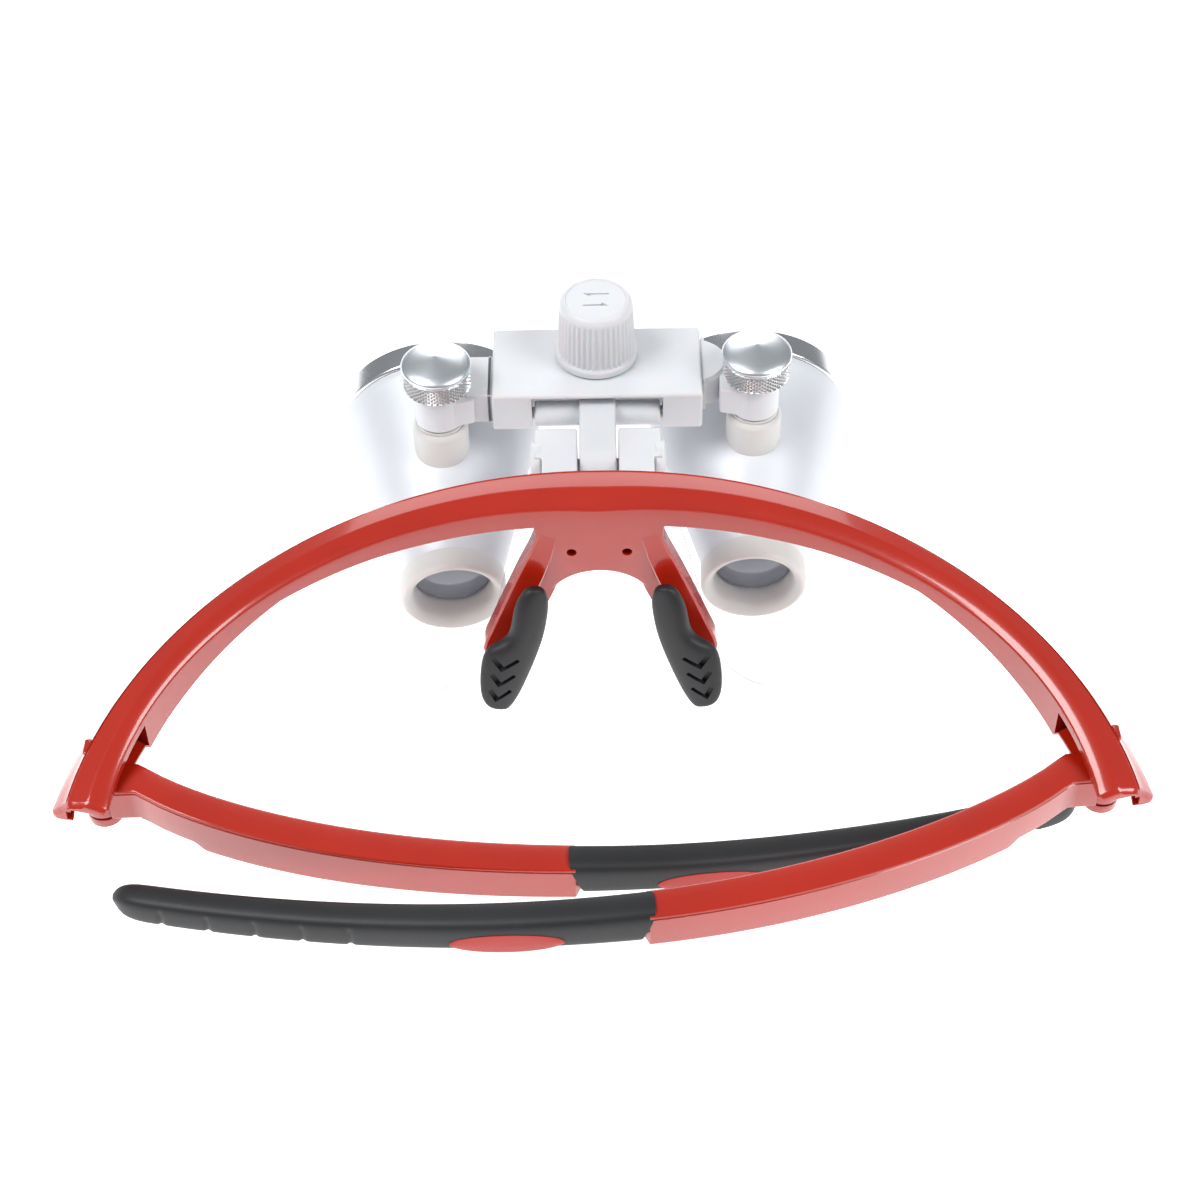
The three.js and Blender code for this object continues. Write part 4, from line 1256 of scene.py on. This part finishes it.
@dataclass
class FlipMount:
    """The base behind the brow bar and the arm that flips about its pin."""

    lug_in: float = 3.0
    lug_out: float = 9.2
    boss_out: float = 9.85
    boss_r: float = 3.8
    arm_half: float = 2.7
    arm_base_r: float = 3.4
    arm_block_r: float = 2.9
    cross_r: float = 1.9

    def base(self) -> bpy.types.Object:
        """Makes the plate, its step and the four lugs of the base."""
        plate = Workbench.box("flip_base", (-7.8, 4.1, 24.8), (7.8, 8.8, 34.0), 0.45)
        step = Workbench.box("base_step", (-9.2, 8.2, 26.2), (9.2, 10.2, 34.7), 0.4)
        parts = [step]
        nose = [(8.6, 34.2), (20.4, 34.3), (21.3, 33.9), (21.8, 33.0),
                (21.8, 28.6), (21.3, 27.4), (20.0, 26.8), (8.6, 26.6)]
        for side in Side:
            sign = side.value
            ring = [DATUM.at(sign * self.lug_in, y, z) for y, z in nose]
            across = Vector((sign * (self.lug_out - self.lug_in) * MM, 0, 0))
            lug = Workbench.prism(f"base_lug_{side.label}", ring, across)
            Workbench.round_edges(lug, 0.3, 3, 60.0)
            waist = sorted((sign * 8.1, sign * 12.0))
            tool = Workbench.box("lug_waist", (waist[0], 10.2, 20.0), (waist[1], 14.9, 40.0), 0.2)
            Workbench.boolean(lug, [tool], "DIFFERENCE")
            boss = rod("pin_boss", Vector((sign * (self.lug_out - 1.0), FLIP.y, FLIP.z)),
                       Vector((sign * self.boss_out, FLIP.y, FLIP.z)), self.boss_r, 0.25, 72)
            parts += [lug, boss]
        Workbench.boolean(plate, parts, "UNION")
        hole = rod("pin_hole", Vector((-12, FLIP.y, FLIP.z)), Vector((12, FLIP.y, FLIP.z)), 1.15, 0.0)
        Workbench.boolean(plate, [hole], "DIFFERENCE")
        return plate

    def arm(self) -> bpy.types.Object:
        """Makes the flipping arm with its two round ends and the cross barrel of the front one."""
        outline = []
        for step in range(21):
            a = math.radians(lerp(96, 264, step / 20))
            outline.append((FLIP.y + self.arm_base_r * math.cos(a), FLIP.z + self.arm_base_r * math.sin(a)))
        outline += [(20.4, 27.9), (25.0, 28.9)]
        for step in range(17):
            a = math.radians(lerp(-70, 62, step / 16))
            outline.append((TILT.y + self.arm_block_r * math.cos(a), TILT.z + self.arm_block_r * math.sin(a)))
        outline += [(25.4, 34.1), (20.0, 34.1)]
        ring = [DATUM.at(-self.arm_half, y, z) for y, z in outline]
        arm = Workbench.prism("flip_arm_moulding", ring, Vector((2 * self.arm_half * MM, 0, 0)))
        Workbench.round_edges(arm, 0.35, 3, 50.0)
        cross = rod("cross_barrel", Vector((-9.3, TILT.y, TILT.z)), Vector((9.3, TILT.y, TILT.z)), self.cross_r, 0.25)
        Workbench.boolean(arm, [cross], "UNION")
        holes = [rod("arm_hole", Vector((-12, p.y, p.z)), Vector((12, p.y, p.z)), r, 0.0)
                 for p, r in ((FLIP, 1.15), (TILT, 1.02))]
        Workbench.boolean(arm, holes, "DIFFERENCE")
        return arm

    def build(self, fitting: Fitting) -> None:
        """Builds the base and the arm."""
        fitting.fit(self.base(), Finishes.WHITE, Body.FRAME.value, ["mount_base"], 35.0)
        fitting.fit(self.arm(), Finishes.WHITE, Body.FLIP_ARM.value, ["flip_arm"], 35.0)


@dataclass
class AdjusterBlock:
    """The hollow block that holds the rack and pinion, open under the knob and at its sides."""

    half: float = 15.55
    back_y: float = 26.0
    front_y: float = 41.3
    low_z: float = 29.4
    top_z: float = 36.0
    edge: float = 0.4

    def build(self, fitting: Fitting) -> None:
        """Builds the block with its notch, cavity, slots, pin hole and shaft hole."""
        block = Workbench.box("adjuster_housing", (-self.half, self.back_y, self.low_z),
                              (self.half, self.front_y, self.top_z), self.edge, 4)
        notch = Workbench.box("notch", (-9.7, 24.5, 27.0), (9.7, 30.8, 35.5), 0.2)
        cavity = Workbench.box("cavity", (-14.4, 31.4, 30.6), (14.4, 40.3, 34.5))
        recess = Workbench.box("cover_recess", (-14.4, 31.4, 28.0), (14.4, 40.3, 30.7))
        left = Workbench.box("left_slot", (-17.0, 31.4, 30.8), (-14.0, 33.6, 34.5))
        right = Workbench.box("right_slot", (14.0, 37.2, 30.8), (17.0, 40.3, 34.5))
        pin = rod("tilt_pin_hole", Vector((-18, TILT.y, TILT.z)), Vector((18, TILT.y, TILT.z)), 1.03, 0.0)
        shaft = rod("shaft_hole", Vector((0, KNOB_AXIS.y, 33.0)), Vector((0, KNOB_AXIS.y, 38.0)), 1.8, 0.0)
        Workbench.boolean(block, [notch, cavity, recess, left, right, pin, shaft], "DIFFERENCE")
        fitting.fit(block, Finishes.WHITE, Body.ADJUSTER.value, ["adjuster_block"], 35.0)


@dataclass
class Knob:
    """The pupil-distance knob: a flange, a ribbed cone and a dished top with two arrows."""

    ribs: int = 42
    base_z: float = 36.15
    flange_r: float = 6.1
    low_r: float = 5.72
    high_r: float = 5.52
    rib_depth: float = 0.2
    body_low: float = 37.5
    body_high: float = 45.2
    top_z: float = 46.6

    def body_ring(self, z: float, radius: float, depth: float) -> Ring:
        """Gives one ring of the body, with ribs of a depth."""
        ring = []
        per_rib = 6
        wave = (0.0, 0.25, 0.85, 1.0, 0.85, 0.25)
        for number in range(self.ribs * per_rib):
            turn = math.tau * number / (self.ribs * per_rib)
            r = radius - depth * wave[number % per_rib]
            ring.append(DATUM.at(KNOB_AXIS.x + r * math.cos(turn), KNOB_AXIS.y + r * math.sin(turn), z))
        return ring

    def arrow(self, across: float, way: float) -> bpy.types.Object:
        """Makes the tool for one half-barbed arrow of the top face.

        Args:
            across: Millimetres in front of the axis.
            way: 1 to point right, -1 to point left.

        Returns:
            The cutting tool.
        """
        outline = [(-1.95, -0.10), (1.95, -0.16), (0.85, 0.62), (0.72, 0.22), (-1.95, 0.14)]
        corners = [DATUM.at(KNOB_AXIS.x + way * a, KNOB_AXIS.y + across + way * b, self.top_z - 0.62)
                   for a, b in outline]
        return Workbench.prism("arrow", corners, Vector((0.0, 0.0, 2.0 * MM)))

    def build(self, fitting: Fitting) -> None:
        """Builds the knob."""
        flange = self.flange_r
        levels = [
            (self.base_z, 2.0, 0.0), (self.base_z, flange - 0.2, 0.0), (self.base_z + 0.2, flange, 0.0),
            (self.base_z + 0.95, flange, 0.0), (self.base_z + 1.15, flange - 0.1, 0.0),
            (self.body_low, self.low_r + 0.02, 0.0), (self.body_low + 0.25, self.low_r, self.rib_depth),
            (lerp(self.body_low, self.body_high, 0.5), 5.64, self.rib_depth),
            (self.body_high - 0.4, self.high_r, self.rib_depth), (self.body_high, self.high_r - 0.03, 0.06),
            (self.body_high + 0.12, self.high_r - 0.05, 0.0), (self.top_z - 0.8, self.high_r - 0.16, 0.0),
            (self.top_z - 0.4, self.high_r - 0.36, 0.0), (self.top_z - 0.12, self.high_r - 0.62, 0.0),
            (self.top_z, self.high_r - 0.9, 0.0), (self.top_z, self.high_r - 1.0, 0.0),
            (self.top_z - 0.16, self.high_r - 1.14, 0.0), (self.top_z - 0.18, self.high_r - 1.4, 0.0),
        ]
        knob = Workbench.loft("knob_body", [self.body_ring(z, r, d) for z, r, d in levels])
        socket = rod("knob_socket", Vector((0, KNOB_AXIS.y, 34.0)), Vector((0, KNOB_AXIS.y, 41.1)), 1.4, 0.0)
        Workbench.boolean(knob, [socket, self.arrow(1.35, -1.0), self.arrow(-1.25, 1.0)], "DIFFERENCE")
        fitting.fit(knob, Finishes.WHITE, Body.KNOB.value, ["ipd_knob"], 38.0)


@dataclass
class SlideArm:
    """One of the two arms: a box that slides beside the block, a rack inside it and an eyelet."""

    side: Side
    box_near: float
    box_far: float
    box_in: float = 15.58
    box_out: float = 19.4
    drum_x: float = 14.4
    drum_r: float = 5.1
    box_low: float = 30.0
    box_top: float = 35.2
    strap_low: float = 30.4
    strap_top: float = 34.9
    eyelet_r: float = 3.6
    eyelet_low: float = 29.8
    eyelet_top: float = 35.9
    bore_r: float = 1.55

    def eyelet_outline(self, post: Vector) -> list[tuple[float, float]]:
        """Gives the strap's outline seen from above: it widens from the box and closes round the post."""
        sign = self.side.value
        near = abs(post.x)
        corners = [(sign * (self.box_out - 1.2), post.y - 1.9), (sign * (self.box_out - 1.2), post.y + 2.6)]
        turns = [math.radians(lerp(130, -130, step / 30)) for step in range(31)]
        corners += [(sign * (near + self.eyelet_r * math.cos(t)), post.y + self.eyelet_r * math.sin(t)) for t in turns]
        return corners

    def build(self, fitting: Fitting) -> None:
        """Builds the arm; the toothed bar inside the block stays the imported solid's shape."""
        sign, post = self.side.value, post_of(self.side)
        if self.side is Side.LEFT:
            whole = Workbench.box("slide_arm_left", (-self.box_out, self.box_near, self.box_low),
                                  (-self.box_in, self.box_far, self.box_top), 0.2, 4)
        else:
            middle = (self.box_near + self.box_far) / 2.0
            whole = rod("slide_arm_right", Vector((self.drum_x, middle, self.box_low)),
                        Vector((self.drum_x, middle, self.box_top + 0.1)), self.drum_r, 0.5, 120)
            cut = Workbench.box("drum_cut", (2.0, 20.0, 25.0), (self.box_in, 50.0, 42.0))
            Workbench.boolean(whole, [cut], "DIFFERENCE")
        strap_ring = [DATUM.at(x, y, self.strap_low) for x, y in self.eyelet_outline(post)]
        strap = Workbench.prism("strap", strap_ring, Vector((0, 0, (self.strap_top - self.strap_low) * MM)))
        Workbench.round_edges(strap, 0.3, 3)
        eyelet = rod("eyelet", Vector((post.x, post.y, self.eyelet_low)), Vector((post.x, post.y, self.eyelet_top)),
                     self.eyelet_r, 0.4, 96)
        Workbench.boolean(whole, [strap, eyelet], "UNION")
        bore = rod("post_bore", Vector((post.x, post.y, 28.0)), Vector((post.x, post.y, 38.0)), self.bore_r, 0.0)
        Workbench.boolean(whole, [bore], "DIFFERENCE")
        body = f"{self.side.label}_arm"
        fitting.fit(whole, Finishes.WHITE, body, (), 35.0)
        self.dress_rack(fitting, body)

    def dress_rack(self, fitting: Fitting, body: str) -> None:
        """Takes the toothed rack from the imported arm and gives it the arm's finish."""
        rack = frame["nodes"][body].copy()
        rack.data = frame["nodes"][body].data.copy()
        rack.name = rack.data.name = f"rack_{self.side.label}"
        rack.parent = None
        rack.data.materials.clear()
        bpy.context.collection.objects.link(rack)
        rack.matrix_world = Matrix.Identity(4)
        Workbench.take(rack)
        bpy.ops.object.mode_set(mode="EDIT")
        bpy.ops.mesh.select_all(action="SELECT")
        bpy.ops.mesh.remove_doubles(threshold=MERGE_DISTANCE)
        sign = self.side.value
        cut = DATUM.at(sign * (self.box_in + 0.6), 0.0, 0.0)
        bpy.ops.mesh.bisect(plane_co=cut, plane_no=(sign, 0, 0), use_fill=True, clear_outer=True)
        bpy.ops.mesh.select_all(action="SELECT")
        bpy.ops.mesh.normals_make_consistent(inside=False)
        bpy.ops.object.mode_set(mode="OBJECT")
        fitting.fit(rack, Finishes.WHITE, body, [body], 35.0)


# ---------------------------------------------------------------- the telescopes

@dataclass
class Barrel:
    """One telescope: eyecup, cone, boss with its stud, objective ring and its glass."""

    side: Side
    yaw: float
    pitch: float = 7.0
    length: float = 38.0
    small_r: float = 7.6
    large_r: float = 15.4
    post_at: float = 19.4
    boss_r: float = 4.15
    boss_top: float = 29.3
    stud_r: float = 1.45
    stud_top: float = 38.0

    def place(self) -> Matrix:
        """Gives the place of the tube: its axis runs forwards from the eye end, pitched up and turned out."""
        post = post_of(self.side)
        pitch = math.radians(self.pitch)
        turn = Matrix.Rotation(-self.side.value * math.radians(self.yaw), 4, "Z")
        lean = Matrix.Rotation(pitch, 4, "X")
        upright = Matrix.Rotation(-math.pi / 2.0, 4, "X")
        back = Matrix.Translation(Vector((0.0, 0.0, -self.post_at * MM)))
        return Matrix.Translation(DATUM.at(post.x, post.y, box_axis_height(self.side))) @ turn @ lean @ upright @ back

    def build(self, fitting: Fitting) -> None:
        """Builds the telescope."""
        body = f"{self.side.label}_barrel"
        label, place = self.side.label, self.place()
        shell = [
            (5.9, 4.05), (self.small_r - 0.15, 4.05), (self.small_r, 4.2), (self.small_r + 0.25, 5.4),
            (lerp(self.small_r, self.large_r, 0.30), 12.6), (lerp(self.small_r, self.large_r, 0.62), 21.9),
            (lerp(self.small_r, self.large_r, 0.86), 28.9), (self.large_r - 0.12, 32.4), (self.large_r, 33.0),
            (self.large_r, 33.7), (13.7, 33.7), (13.2, 31.0), (6.7, 8.0), (5.9, 7.0),
        ]
        cone = Workbench.turned(f"barrel_{label}", shell, place, 128)
        post = post_of(self.side)
        boss_profile = [(0, 17.0), (self.boss_r, 17.0), (self.boss_r, self.boss_top - 0.9),
                        (self.boss_r - 0.12, self.boss_top - 0.45), (self.boss_r - 0.45, self.boss_top - 0.1),
                        (self.boss_r - 0.9, self.boss_top), (self.stud_r, self.boss_top),
                         (self.stud_r, self.stud_top), (0, self.stud_top)]
        boss = Workbench.turned("boss", boss_profile, Matrix.Translation(DATUM.at(post.x, post.y, 0.0)), 96)
        Workbench.boolean(cone, [boss], "UNION")
        hollow = [(0, 7.0), (5.9, 7.0), (6.7, 8.0), (13.2, 31.0), (13.2, 36.0), (0, 36.0)]
        bore = Workbench.turned("barrel_bore", hollow, place, 128)
        Workbench.boolean(cone, [bore], "DIFFERENCE")
        self.colour_boss(cone, post)
        fitting.fit(cone, Finishes.PALE, body, [body], 30.0)
        cup = [(6.05, 1.5), (6.2, 1.15), (6.5, 0.75), (6.9, 0.4), (7.25, 0.2), (7.55, 0.25), (7.8, 0.5), (7.95, 1.0),
               (7.95, 3.7), (7.8, 4.0), (5.7, 4.0), (5.75, 3.0), (5.95, 2.0)]
        eyecup = Workbench.turned(f"eyecup_{label}", cup, place, 128)
        fitting.fit(eyecup, Finishes.IVORY, body, [f"{label}_eyecup_ring"], 30.0)
        ring = [(13.55, 37.7), (13.8, 37.95), (15.4, 38.0), (15.75, 37.8), (15.8, 37.4), (15.8, 34.35), (15.6, 34.05),
                (15.2, 33.8), (13.9, 33.8), (13.9, 35.4), (13.4, 35.6)]
        finish = TurnedFinish(
            f"aluminium_ring_{label}", "brushed_aluminium", (0.80, 0.82, 0.84), (0.60, 0.62, 0.65), roughness=0.24,
            unevenness=0.12, metallic=1.0, relief=0.000004, centre=tuple(place.translation),
            lean=tuple(place.to_3x3().transposed().to_euler()))
        fitting.fit(Workbench.turned(f"objective_rim_{label}", ring, place, 160), finish, body,
                    [f"{label}_objective_ring"], 35.0)
        self.glass(fitting, body, place)

    def colour_boss(self, cone: bpy.types.Object, post: Vector) -> None:
        """Gives the boss and its stud their own finishes on the joined tube."""
        for finish in (Finishes.PALE, Finishes.IVORY, Finishes.STEEL):
            cone.data.materials.append(Finishes.material(finish))
        centre = DATUM.at(post.x, post.y, 0.0)
        for face in cone.data.polygons:
            gap = Vector((face.center.x - centre.x, face.center.y - centre.y)).length / MM
            height = DATUM.local(face.center).z
            if height > self.boss_top + 0.01 and gap < self.stud_r + 0.1:
                face.material_index = 2
            elif gap < self.boss_r + 0.02 and height > 18.0 and abs(face.normal.z) < 0.3 or (
                    gap < self.boss_r and height > self.boss_top - 1.2):
                face.material_index = 1

    def glass(self, fitting: Fitting, body: str, place: Matrix) -> None:
        """Makes the eye lens and the objective lens, each with a domed face and a ground edge."""
        def dome(radius: float, flat: float, rise: float) -> list[tuple[float, float]]:
            """Gives the profile of a dome from the axis to the edge."""
            return [(radius * s / 12.0, flat + rise * (1.0 - (s / 12.0) ** 2)) for s in range(13)]

        label = self.side.label
        eye = [(r, z) for r, z in dome(5.62, 4.35, -0.5)] + [(5.62, 6.8), (0.0, 6.8)]
        eye_glass = Workbench.turned(f"eye_lens_glass_{label}", eye, place, 96)
        fitting.fit(eye_glass, Finishes.GLASS, body, [f"{label}_eye_lens"], 30.0)
        front = [(0.0, 33.9), (13.05, 33.9)] + list(reversed(dome(13.05, 34.4, 0.9)))
        fitting.fit(Workbench.turned(f"objective_glass_{label}", front, place, 128), Finishes.GLASS, body,
                    [f"{label}_objective_lens"], 30.0)


def box_axis_height(side: Side) -> float:
    """Gives the height of a telescope's axis at its post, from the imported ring's and cup's boxes."""
    ring_low, ring_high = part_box(f"{side.label}_objective_ring")
    cup_low, cup_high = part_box(f"{side.label}_eyecup_ring")
    ring, cup = (ring_low + ring_high) / 2.0, (cup_low + cup_high) / 2.0
    post = post_of(side)
    place = DATUM.at(post.x, post.y, 0.0)
    share = (place.y - cup.y) / (ring.y - cup.y)
    return DATUM.local(cup.lerp(ring, share)).z


@dataclass
class LockScrew:
    """A clamping screw: a diamond-knurled band under a smooth domed cap with a centre point."""

    side: Side
    base_z: float = 36.05
    neck_r: float = 3.4
    band_low: float = 0.55
    band_high: float = 3.5
    band_r: float = 5.0
    cap_r: float = 5.18
    diamonds: int = 38
    rows: int = 4
    knurl_depth: float = 0.34

    def band(self) -> bpy.types.Object:
        """Makes the knurled band: rings of alternating high and low points."""
        post = post_of(self.side)
        count = self.diamonds * 2

        def ring(z: float, radius: float, shift: int, depth: float) -> Ring:
            """Gives one ring whose every second corner is sunk."""
            made = []
            for number in range(count):
                turn = math.tau * number / count
                r = radius - depth * ((number + shift) % 2)
                made.append(DATUM.at(post.x + r * math.cos(turn), post.y + r * math.sin(turn), self.base_z + z))
            return made

        rings = [ring(0.0, 1.6, 0, 0.0), ring(0.0, self.neck_r - 0.15, 0, 0.0), ring(0.12, self.neck_r, 0, 0.0),
                 ring(0.42, self.neck_r, 0, 0.0), ring(0.5, self.band_r - 0.3, 0, 0.0),
                 ring(self.band_low + 0.1, self.band_r - 0.08, 0, 0.05)]
        steps = self.rows * 2
        for step in range(steps + 1):
            z = lerp(self.band_low + 0.25, self.band_high - 0.15, step / steps)
            rings.append(ring(z, self.band_r + 0.04, step % 2, self.knurl_depth))
        rings += [ring(self.band_high, self.band_r - 0.08, 0, 0.05), ring(self.band_high + 0.12, self.band_r - 0.3, 0, 0.0),
                  ring(self.band_high + 0.14, 4.4, 0, 0.0), ring(self.band_high + 0.3, 4.38, 0, 0.0),
                  ring(self.band_high + 0.3, 1.6, 0, 0.0)]
        band = Workbench.loft(f"knurled_band_{self.side.label}", rings)
        Workbench.apply(band, "TRIANGULATE", quad_method="SHORTEST_DIAGONAL")
        hole = rod("screw_hole", Vector((post.x, post.y, 34.0)), Vector((post.x, post.y, 38.4)), 1.52, 0.0)
        Workbench.boolean(band, [hole], "DIFFERENCE")
        return band

    def build(self, fitting: Fitting) -> None:
        """Builds the band and the cap."""
        body = f"{self.side.label}_lock_screw"
        post = post_of(self.side)
        metal = dict(slot="brushed_aluminium", metallic=1.0, relief=0.000003,
                     centre=tuple(DATUM.at(post.x, post.y, self.base_z)))
        knurled = TurnedFinish(f"aluminium_knurl_{self.side.label}", colour=(0.80, 0.80, 0.80), shade=(0.58, 0.58, 0.59),
                               roughness=0.3, unevenness=0.1, **metal)
        fitting.fit(self.band(), knurled, body, [body], 4.0)
        base = self.band_high + 0.3
        r = self.cap_r
        profile = [(0, base), (4.4, base), (4.42, base + 0.24), (r - 0.1, base + 0.28), (r, base + 0.4), (r, base + 0.56),
                   (r - 0.06, base + 0.7), (r - 0.26, base + 0.9), (r - 0.7, base + 1.14), (r - 1.4, base + 1.4),
                   (2.8, base + 1.68), (1.9, base + 1.92), (1.1, base + 2.1), (0.45, base + 2.22), (0.16, base + 2.26),
                   (0, base + 2.3)]
        cap = Workbench.turned(f"screw_cap_{self.side.label}", profile,
                               Matrix.Translation(DATUM.at(post.x, post.y, self.base_z)), 160)
        spun = TurnedFinish(f"aluminium_cap_{self.side.label}", colour=(0.86, 0.90, 0.93), shade=(0.72, 0.77, 0.81),
                            roughness=0.33, unevenness=0.1, **metal)
        fitting.fit(cap, spun, body, (), 32.0)


@dataclass
class CarriedOver:
    """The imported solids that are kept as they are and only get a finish."""

    finishes: dict[str, Finish] = field(default_factory=lambda: {
        "hinge_screw": Finishes.STEEL, "cover_screw": Finishes.STEEL,
        "pivot_pin": Finishes.STEEL, "pinion_shaft": Finishes.BRASS, "adjuster_cover": Finishes.WHITE,
        "post_washer": Finishes.IVORY, "lens_spacer": Finishes.BLACK,
    })

    def build(self, fitting: Fitting) -> None:
        """Dresses every node whose name holds one of the words."""
        for name, node in sorted(frame["nodes"].items()):
            for word, finish in self.finishes.items():
                if word in name:
                    node.data.materials.clear()
                    node.data.materials.append(Finishes.material(finish))
                    LOG.info("kept %s with %s", name, finish.name)


# ---------------------------------------------------------------- studio

@dataclass
class Studio:
    """A bright pale sweep, a soft light overhead and the camera."""

    elevation: float = 47.0
    lens: float = 72.0
    back: float = -236.1
    height: float = 273.15
    roll: float = 0.8
    floor_glow: float = 0.7
    world_strength: float = 0.3
    size: float = 6.0

    def floor(self) -> None:
        """Makes the floor under the loupes."""
        Workbench.clear()
        bpy.ops.mesh.primitive_plane_add(size=self.size, location=(0.0, 0.0, CAD_BOX[0][2]))
        floor = bpy.context.object
        floor.name = floor.data.name = "floor"
        graph = Graph("paper")
        cloud = graph.noise(1.5, 1.0)
        graph.set(Base_Color=graph.mix(cloud, (0.90, 0.90, 0.90), (0.88, 0.88, 0.885)), Roughness=cloud * 0.05 + 0.85)
        graph.shader.inputs["Emission Color"].default_value = (1.0, 1.0, 1.0, 1.0)
        graph.shader.inputs["Emission Strength"].default_value = self.floor_glow
        floor.data.materials.append(graph.material)

    def world(self) -> None:
        """Sets the surroundings, darker overhead than at the sides."""
        world = bpy.context.scene.world or bpy.data.worlds.new("studio")
        bpy.context.scene.world = world
        world.use_nodes = True
        sky = world.node_tree.nodes["Background"]
        sky.inputs["Color"].default_value = (0.95, 0.97, 1.0, 1.0)
        sky.inputs["Strength"].default_value = self.world_strength

    def light(self, name: str, place: Vector, target: Vector, size: float, power: float) -> None:
        """Adds a square soft light that looks at a target."""
        Workbench.clear()
        bpy.ops.object.light_add(type="AREA", location=place)
        lamp = bpy.context.object
        lamp.name = name
        lamp.data.energy = power
        lamp.data.size = size
        lamp.rotation_euler = (target - place).to_track_quat("-Z", "Y").to_euler()

    def camera(self) -> None:
        """Places the camera, which looks forwards and down with a slight roll."""
        Workbench.clear()
        bpy.ops.object.camera_add(location=DATUM.at(0.0, self.back, self.height))
        camera = bpy.context.object
        camera.data.lens = self.lens
        camera.data.sensor_width = 36.0
        tip = Matrix.Rotation(math.radians(90.0 - self.elevation), 4, "X")
        turn = tip @ Matrix.Rotation(-math.radians(self.roll), 4, "Z")
        camera.matrix_world = Matrix.Translation(camera.location) @ turn
        bpy.context.scene.camera = camera

    def build(self) -> None:
        """Builds the studio."""
        self.floor()
        self.world()
        target = DATUM.at(0.0, 0.0, 20.0)
        self.light("key", target + Vector((-0.45, -0.15, 0.7)), target, 0.45, 5.2)
        self.light("fill", target + Vector((0.55, -0.25, 0.6)), target, 0.4, 3.8)
        self.light("rim", target + Vector((0.0, 1.1, 0.5)), target, 0.8, 4.0)
        self.camera()
        bpy.context.scene.view_settings.view_transform = "Standard"


def main() -> None:
    """Builds every sub-assembly in order, then the studio."""
    fitting = Fitting()
    FrontFrame().build(fitting)
    BaseScrews().build(fitting)
    Lenses().build(fitting)
    NosePads().build(fitting)
    Temple(Side.LEFT, angle=1.0, rise=-3.0).build(fitting)
    Temple(Side.RIGHT, angle=4.8, rise=3.2).build(fitting)
    FlipMount().build(fitting)
    AdjusterBlock().build(fitting)
    Knob().build(fitting)
    SlideArm(Side.LEFT, box_near=27.2, box_far=36.0).build(fitting)
    SlideArm(Side.RIGHT, box_near=29.4, box_far=39.8).build(fitting)
    for side, yaw in ((Side.LEFT, 5.0), (Side.RIGHT, 1.2)):
        Barrel(side, yaw).build(fitting)
        LockScrew(side).build(fitting)
    CarriedOver().build(fitting)
    Studio().build()
    LOG.info("%d new pieces", fitting.count)


if __name__ == "__main__":
    main()
